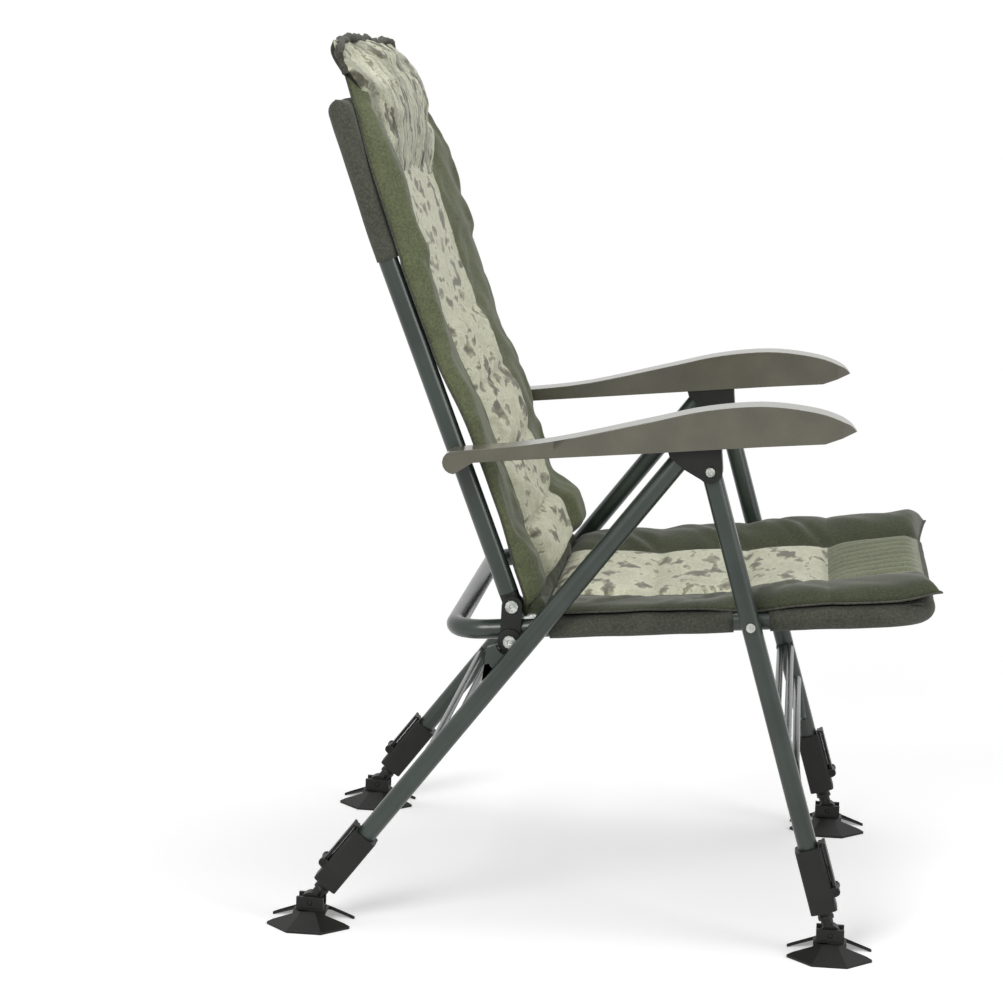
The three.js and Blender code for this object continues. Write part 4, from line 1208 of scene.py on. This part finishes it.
    def trim(self, name: str, path: list[Vector], radius: Measure, sides: int = 10) -> Piece:
        """Sews a round trim of mattress cloth along a path.

        Args:
            name: The trim's name.
            path: Its centre line, in metres.
            radius: Its radius in metres, by the length along it and the angle round it.
            sides: How many points go round it.

        Returns:
            The trim.
        """
        piece = new_mesh(name, *swept(path, radius, sides))
        spots = [(vertex.co.y, vertex.co.x + vertex.co.z) for vertex in piece.data.vertices]
        lay_flat(piece, [[spots[index] for index in face.vertices] for face in piece.data.polygons])
        wear(piece, self.finishes.gathered)
        log.info("built %s", name)
        return piece

    def hem_radius(self, run: float, angle: float) -> float:
        """Gives the crumpled hem's radius, in metres."""
        around = (math.cos(angle) * 1.2, math.sin(angle) * 1.2)
        return (5.4 + 3.2 * lumps(run * 95, *around)) * MM

    def roll_radius(self, run: float, angle: float) -> float:
        """Gives the tucked waist roll's radius, in metres."""
        around = (1.4 * math.cos(angle), 1.4 * math.sin(angle))
        return (15 + 5.5 * lumps(run * 22, *around)) * MM

    def gathered_hem(self) -> None:
        """Builds the gathered elastic hem along the top of the pillow and a little way down its sides."""
        top = self.pillow_top
        ups = [top - 46 + 4 * k for k in range(10)]
        side = [(up, 229 - 0.1 * (top - up)) for up in ups]
        spots = [(up, -across) for up, across in side]
        spots += [(top - 3 - 9 * abs(across / 226) ** 6, across) for across in range(-220, 221, 4)]
        spots += reversed(side)
        path = []
        for up, across in spots:
            lift = 6.5 * lumps(across / 45, up / 60, 0)
            forward = 3 + 5 * lumps(across / 36, up / 40, 0)
            path.append(self.on_back(up + lift, across, forward))
        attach(self.trim("pillow_gathered_hem", path, self.hem_radius), "backrest")

    def waist(self) -> None:
        """Builds the folded roll that joins the seat pad to the back pad, over the rear of the seat."""
        path = [
            SEAT_PLANE.place(-276 + 3 * lumps(across / 30, 2, 5), across, 24)
            for across in range(-252, 253, 6)
        ]
        piece = self.trim("waist_roll", path, self.roll_radius, 20)
        # The roll wears the darker copy of the woven cloth, which is painted shade.
        wear(piece, self.finishes.woven_painted_shade)
        subdivided(piece)
        hinge = [tuple(SEAT_PLANE.place(along, 0, up)) for along, up in ((-258, 20), (-278, 42))]
        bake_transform(piece)

    def build(self) -> None:
        """Builds the pads and what is sewn to them."""
        worn = self.finishes
        plain = worn.backing
        sewn = (
            # The seat pad's borders wear the darker copy of the woven cloth, which is painted shade.
            (self.seat(), (worn.woven_painted_shade, worn.printed, worn.ribbed, plain)),
            (self.back(), (worn.woven, worn.printed, worn.ribbed, plain)),
            (self.pillow(), (plain, worn.printed_gathered, plain, plain)),
        )
        for pad, cloths in sewn:
            rim = pad.build(cloths)
            if pad.slot == "mattress_cloth":
                piping = self.trim(f"{pad.name}_piping", [*rim, rim[0]], lambda run, angle: PIPING_RADIUS * MM)
                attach(piping, pad.body)
        self.gathered_hem()
        self.waist()


# Slings


def stretch(
    piece: Piece, finish: Material, node: str, body: str
) -> None:
    """Args:
        piece: The cloth.
        finish: Its material.
        node: The CAD node that it replaces.
        body: The body that it moves with.
    """
    wear(piece, finish)
    thick = piece.modifiers.new("cloth thickness", "SOLIDIFY")
    thick.thickness = SHEET_THICKNESS * MM
    thick.offset = 0
    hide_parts(node)
    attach(piece, body)


@dataclass
class SeatSling:
    """The seat's cloth: a panel with sleeves on the seat tubes, cut away where the front legs pass."""

    tubes: FrameTubes
    finish: Material
    rear_end: float = -255.0
    notch: float = 23.0
    notch_depth: float = 22.0
    sleeve_radius: float = 14.0
    ring_step: float = 0.012
    ring: int = 28
    panel_height: float = 13.6
    panel_grid: float = 14.0

    def sleeve(self, run: float, angle: float) -> float:
        """Gives the sleeve's radius at a length along it and an angle round it, in metres."""
        fold = lumps(run * 28, math.cos(angle) * 1.6, math.sin(angle) * 1.6)
        return (self.sleeve_radius + 0.7 * fold) * MM

    def sleeves(self) -> Sheet:
        """Makes the sleeves: a straight one on each side behind the front legs, and one round the front.

        Returns:
            The vertices, the faces, and each face's corners on the flat cut.
        """
        points: list[Vector] = []
        faces: list[list[int]] = []
        flat: Flat = []
        around = math.tau * self.sleeve_radius * MM / self.ring
        ends = (self.rear_end, -self.notch)
        runs = [[SEAT_PLANE.place(end, side.value * HALF_SEAT, 0) for end in ends] for side in Side]
        runs.append(self.tubes.seat_run(self.notch, self.tubes.front_reach))
        for run in runs:
            rings, sides = swept(evened(run, self.ring_step), self.sleeve, self.ring, closed_ends=False)
            for side in sides:
                turns = [index % self.ring for index in side]
                if max(turns) - min(turns) > self.ring // 2:
                    turns = [turn + self.ring * (turn < self.ring // 2) for turn in turns]
                spots = zip(turns, (index // self.ring for index in side))
                flat.append([(turn * around, row * self.ring_step) for turn, row in spots])
                faces.append([index + len(points) for index in side])
            points += rings
        return points, faces, flat

    def panel(self, first: int) -> Sheet:
        """Makes the panel between the sleeves.

        Args:
            first: The number of its first vertex.

        Returns:
            The vertices, the faces, and each face's corners on the flat cut.
        """
        points: list[Vector] = []
        faces: list[list[int]] = []
        flat: Flat = []
        marks = [-self.notch, self.notch]
        alongs = lines_between(self.rear_end, self.tubes.front_reach, marks, self.panel_grid)
        acrosses = lines_between(-HALF_SEAT, HALF_SEAT, [], self.panel_grid)
        for along in alongs:
            heights = [self.panel_height - sling_dip(along, across) for across in acrosses]
            points += [SEAT_PLANE.place(along, across, up) for across, up in zip(acrosses, heights)]
        for i, (low, high) in enumerate(zip(alongs, alongs[1:])):
            for j, (right, left) in enumerate(zip(acrosses, acrosses[1:])):
                at_notch = abs(low + high) / 2 < self.notch
                if at_notch and abs(right + left) / 2 > HALF_SEAT - self.notch_depth:
                    continue
                corner = first + i * len(acrosses) + j
                faces.append([corner, corner + len(acrosses), corner + len(acrosses) + 1, corner + 1])
                corners = ((right, low), (right, high), (left, high), (left, low))
                flat.append([(across * MM, along * MM) for across, along in corners])
        return points, faces, flat

    def build(self) -> None:
        """Builds the sleeves and the panel between them as one piece."""
        points, faces, flat = self.sleeves()
        for whole, part in zip((points, faces, flat), self.panel(len(points))):
            whole += part
        piece = new_mesh("seat_sling_cloth", points, faces)
        lay_flat(piece, flat)
        stretch(piece, self.finish, "seat_sling", "seat")


@dataclass
class BackPocket:
    """The flat bag that slips over the top of the back frame, open at its lower end."""

    finish: Material
    deep: float = 14.2
    low: float = 4.0
    high: float = 210.0
    turn_steps: int = 12
    face_steps: int = 20
    least_open: float = 0.12

    def section(self) -> list[tuple[float, float, float]]:
        """Gives the section round the bag: forward, across, and 1 at a tube or 0 between the tubes."""
        section = []
        for side in (1, -1):
            for k in range(self.turn_steps + 1):
                angle = math.pi * k / self.turn_steps
                across = side * (HALF_SEAT + self.deep * math.sin(angle))
                section.append((side * self.deep * math.cos(angle), across, 1.0))
            for k in range(1, self.face_steps):
                section.append((-side * self.deep, side * HALF_SEAT * (1 - 2 * k / self.face_steps), 0.0))
        return section

    def corner(self, up: float, forward: float, across: float, at_tube: float) -> Vector:
        """Gives a vertex of the bag, slack between the tubes and rounded over at its top.

        Args:
            up: The height above the bend of the back.
            forward: The section's reach forward.
            across: The section's reach across.
            at_tube: 1 at a tube or 0 between the tubes.

        Returns:
            The point, in metres.
        """
        closing = max(0.0, up - self.high + self.deep) / self.deep
        shut = max(self.least_open, math.sqrt(1 - closing**2))
        fold = lumps(up / 40, across / 26, forward / 9)
        slack = 1.6 * fold * (1.5 - at_tube) * (1 - 0.75 * math.sqrt(closing))
        lump = 1.5 * closing * lumps(across / 14, 4.0, forward / 20)
        return upper_back((forward + slack) * shut, across * (1 + slack / 600), up + lump)

    def flat_corners(self, piece: Piece, section: Sequence[tuple[float, ...]], ups: Sequence[float]) -> Flat:
        """Gives each face's corners on the flat cut, which is the bag slit open along one side.

        Args:
            piece: The bag.
            section: The section round it.
            ups: The heights of its rings of vertices.

        Returns:
            The corners of each face, in metres.
        """
        ring = len(section)
        runs = [0.0]
        for (f0, a0, _), (f1, a1, _) in zip(section, [*section[1:], section[0]]):
            runs.append(runs[-1] + math.hypot(f1 - f0, a1 - a0))
        flat: Flat = []
        for face in piece.data.polygons:
            turns = [index % ring for index in face.vertices]
            if max(turns) - min(turns) > ring // 2 and len(set(turns)) == 2:
                turns = [turn or ring for turn in turns]
            rises = [ups[index // ring] * MM for index in face.vertices]
            flat.append([(runs[turn] * MM, rise) for turn, rise in zip(turns, rises)])
        return flat

    def build(self) -> None:
        """Builds the bag."""
        section = self.section()
        closings = [self.high - short for short in (self.deep, 10, 6.5, 3.5, 1.2)]
        ups = lines_between(self.low, self.high, closings, 9.0)
        points = [self.corner(up, *spot) for up in ups for spot in section]
        ring = len(section)
        faces = [
            [i * ring + k, i * ring + (k + 1) % ring, (i + 1) * ring + (k + 1) % ring, (i + 1) * ring + k]
            for i in range(len(ups) - 1)
            for k in range(ring)
        ]
        last = (len(ups) - 1) * ring
        outermost = self.turn_steps // 2
        for k in range(ring // 2):
            pair = [last + (outermost + turn) % ring for turn in (k, k + 1, -k - 1, -k)]
            faces.append(list(dict.fromkeys(pair)))
        piece = new_mesh("back_pocket_cloth", points, faces)
        lay_flat(piece, self.flat_corners(piece, section, ups))
        stretch(piece, self.finish, "back_sling", "backrest")


# Studio


@dataclass
class Studio:
    """The plain room: a pale floor, soft lamps and the camera at the photograph's place."""

    focal_px: float = 2800.0
    width_px: float = 1003.0
    sensor_mm: float = 36.0
    eye: tuple[float, float, float] = (0.220954, -3.713, 1.154)
    turn: float = 5.89
    pitch: float = -9.57
    roll: float = -1.76
    aim: tuple[float, float, float] = (0.0, 0.0, 0.5)
    half_floor: float = 9.0
    room_light: float = 0.42
    floor_glow: float = 0.3
    floor_fade: tuple[float, float] = (0.75, 1.9)

    def camera(self) -> None:
        """Puts up the camera."""
        data = bpy.data.cameras.new("camera")
        data.sensor_width = self.sensor_mm
        data.lens = self.focal_px * self.sensor_mm / self.width_px
        data.clip_start, data.clip_end = 0.1, 50
        camera = bpy.data.objects.new("camera", data)
        bpy.context.scene.collection.objects.link(camera)
        stance = Matrix.Translation(Vector(self.eye))
        for angle, axis in ((self.turn, "Z"), (self.pitch, "X"), (self.roll, "Y"), (90, "X")):
            stance = stance @ Matrix.Rotation(math.radians(angle), 4, axis)
        camera.matrix_world = stance
        bpy.context.scene.camera = camera

    def lamp(self, name: str, spot: tuple[float, float, float], size: float, power: float) -> None:
        """Puts up one square soft lamp that faces the chair.

        Args:
            name: The lamp's name.
            spot: Its place, in metres.
            size: The length of its sides, in metres.
            power: Its power, in watts.
        """
        data = bpy.data.lights.new(name, "AREA")
        data.shape = "SQUARE"
        data.size = size
        data.energy = power
        lamp = bpy.data.objects.new(name, data)
        bpy.context.scene.collection.objects.link(lamp)
        lamp.location = spot
        lamp.rotation_mode = "QUATERNION"
        lamp.rotation_quaternion = (Vector(self.aim) - Vector(spot)).to_track_quat("-Z", "Y")

    def seen(self, tree: Tree) -> Node:
        """Adds the test for rays that meet the backdrop straight, in a reflection or through glass."""
        rays = add_node(tree, "ShaderNodeLightPath").outputs
        either = {"operation": "MAXIMUM"}
        first = add_node(tree, "ShaderNodeMath", either, {0: rays["Is Camera Ray"], 1: rays["Is Glossy Ray"]})
        return add_node(tree, "ShaderNodeMath", either, {0: first, 1: rays["Is Transmission Ray"]})

    def surroundings(self) -> None:
        """Makes the world: soft grey light, and white where it is seen."""
        world = bpy.data.worlds.new("soft room")
        bpy.context.scene.world = world
        world.use_nodes = True
        tree = world.node_tree
        tree.nodes.clear()
        soft, white = (
            add_node(tree, "ShaderNodeBackground", {"Color": linear("#ffffff"), "Strength": strength})
            for strength in (self.room_light, 1.0)
        )
        mixed = add_node(tree, "ShaderNodeMixShader", feeds={0: self.seen(tree), 1: soft, 2: white})
        add_node(tree, "ShaderNodeOutputWorld", feeds={0: mixed})

    def floor(self) -> None:
        """Lays the pale floor, which keeps the chair's shadow and fades into the backdrop away from it."""
        corners = ((-1, -1, 0), (1, -1, 0), (1, 1, 0), (-1, 1, 0))
        points = [Vector(corner) * self.half_floor for corner in corners]
        floor = new_mesh("studio_floor", points, [[0, 1, 2, 3]])
        material = bpy.data.materials.new("studio floor painted matt")
        material.use_nodes = True
        tree = material.node_tree
        tree.nodes.clear()
        place = add_node(tree, "ShaderNodeTexCoord").outputs["Object"]
        cloud = add_node(tree, "ShaderNodeTexNoise", {"Scale": 1.5}, {"Vector": place})
        tone = ramp(tree, cloud, [(0.3, "#f1f1f1"), (0.7, "#f6f6f6")])
        matt = add_node(tree, "ShaderNodeBsdfDiffuse", feeds={"Color": tone})
        glow, white = (
            add_node(tree, "ShaderNodeEmission", {"Color": linear("#ffffff"), "Strength": strength})
            for strength in (self.floor_glow, 1.0)
        )
        lifted = add_node(tree, "ShaderNodeAddShader", feeds={0: matt, 1: glow})
        away = add_node(tree, "ShaderNodeVectorMath", {"operation": "LENGTH"}, {0: place}).outputs[1]
        near, far_off = self.floor_fade
        fading = {"interpolation_type": "SMOOTHSTEP", "From Min": near, "From Max": far_off}
        far = add_node(tree, "ShaderNodeMapRange", fading, {"Value": away})
        faded = add_node(tree, "ShaderNodeMixShader", feeds={0: far, 1: lifted, 2: white})
        mixed = add_node(tree, "ShaderNodeMixShader", feeds={0: self.seen(tree), 1: matt, 2: faded})
        add_node(tree, "ShaderNodeOutputMaterial", feeds={0: mixed})
        wear(floor, material)

    def build(self) -> None:
        """Builds the studio."""
        self.camera()
        self.surroundings()
        self.floor()
        self.lamp("key_lamp", (-1.4, -3.2, 2.6), 1.6, 80.0)
        self.lamp("top_lamp", (0.4, 0.2, 3.4), 1.8, 34.0)
        self.lamp("fill_lamp", (3.2, -1.4, 1.8), 1.6, 34.0)
        bpy.context.scene.view_settings.view_transform = "Standard"
        log.info("built the studio")


def main() -> None:
    """Builds the chair's looks in order."""
    logging.basicConfig(level=logging.INFO, format="%(name)s: %(message)s")
    Studio().build()
    finishes = Wardrobe()
    HardParts(finishes).dress()
    tubes = FrameTubes(finishes.steel)
    tubes.build()
    SeatSling(tubes, finishes.sleeve).build()
    BackPocket(finishes.sleeve).build()
    Mattress(finishes).build()


if __name__ == "__main__":
    main()
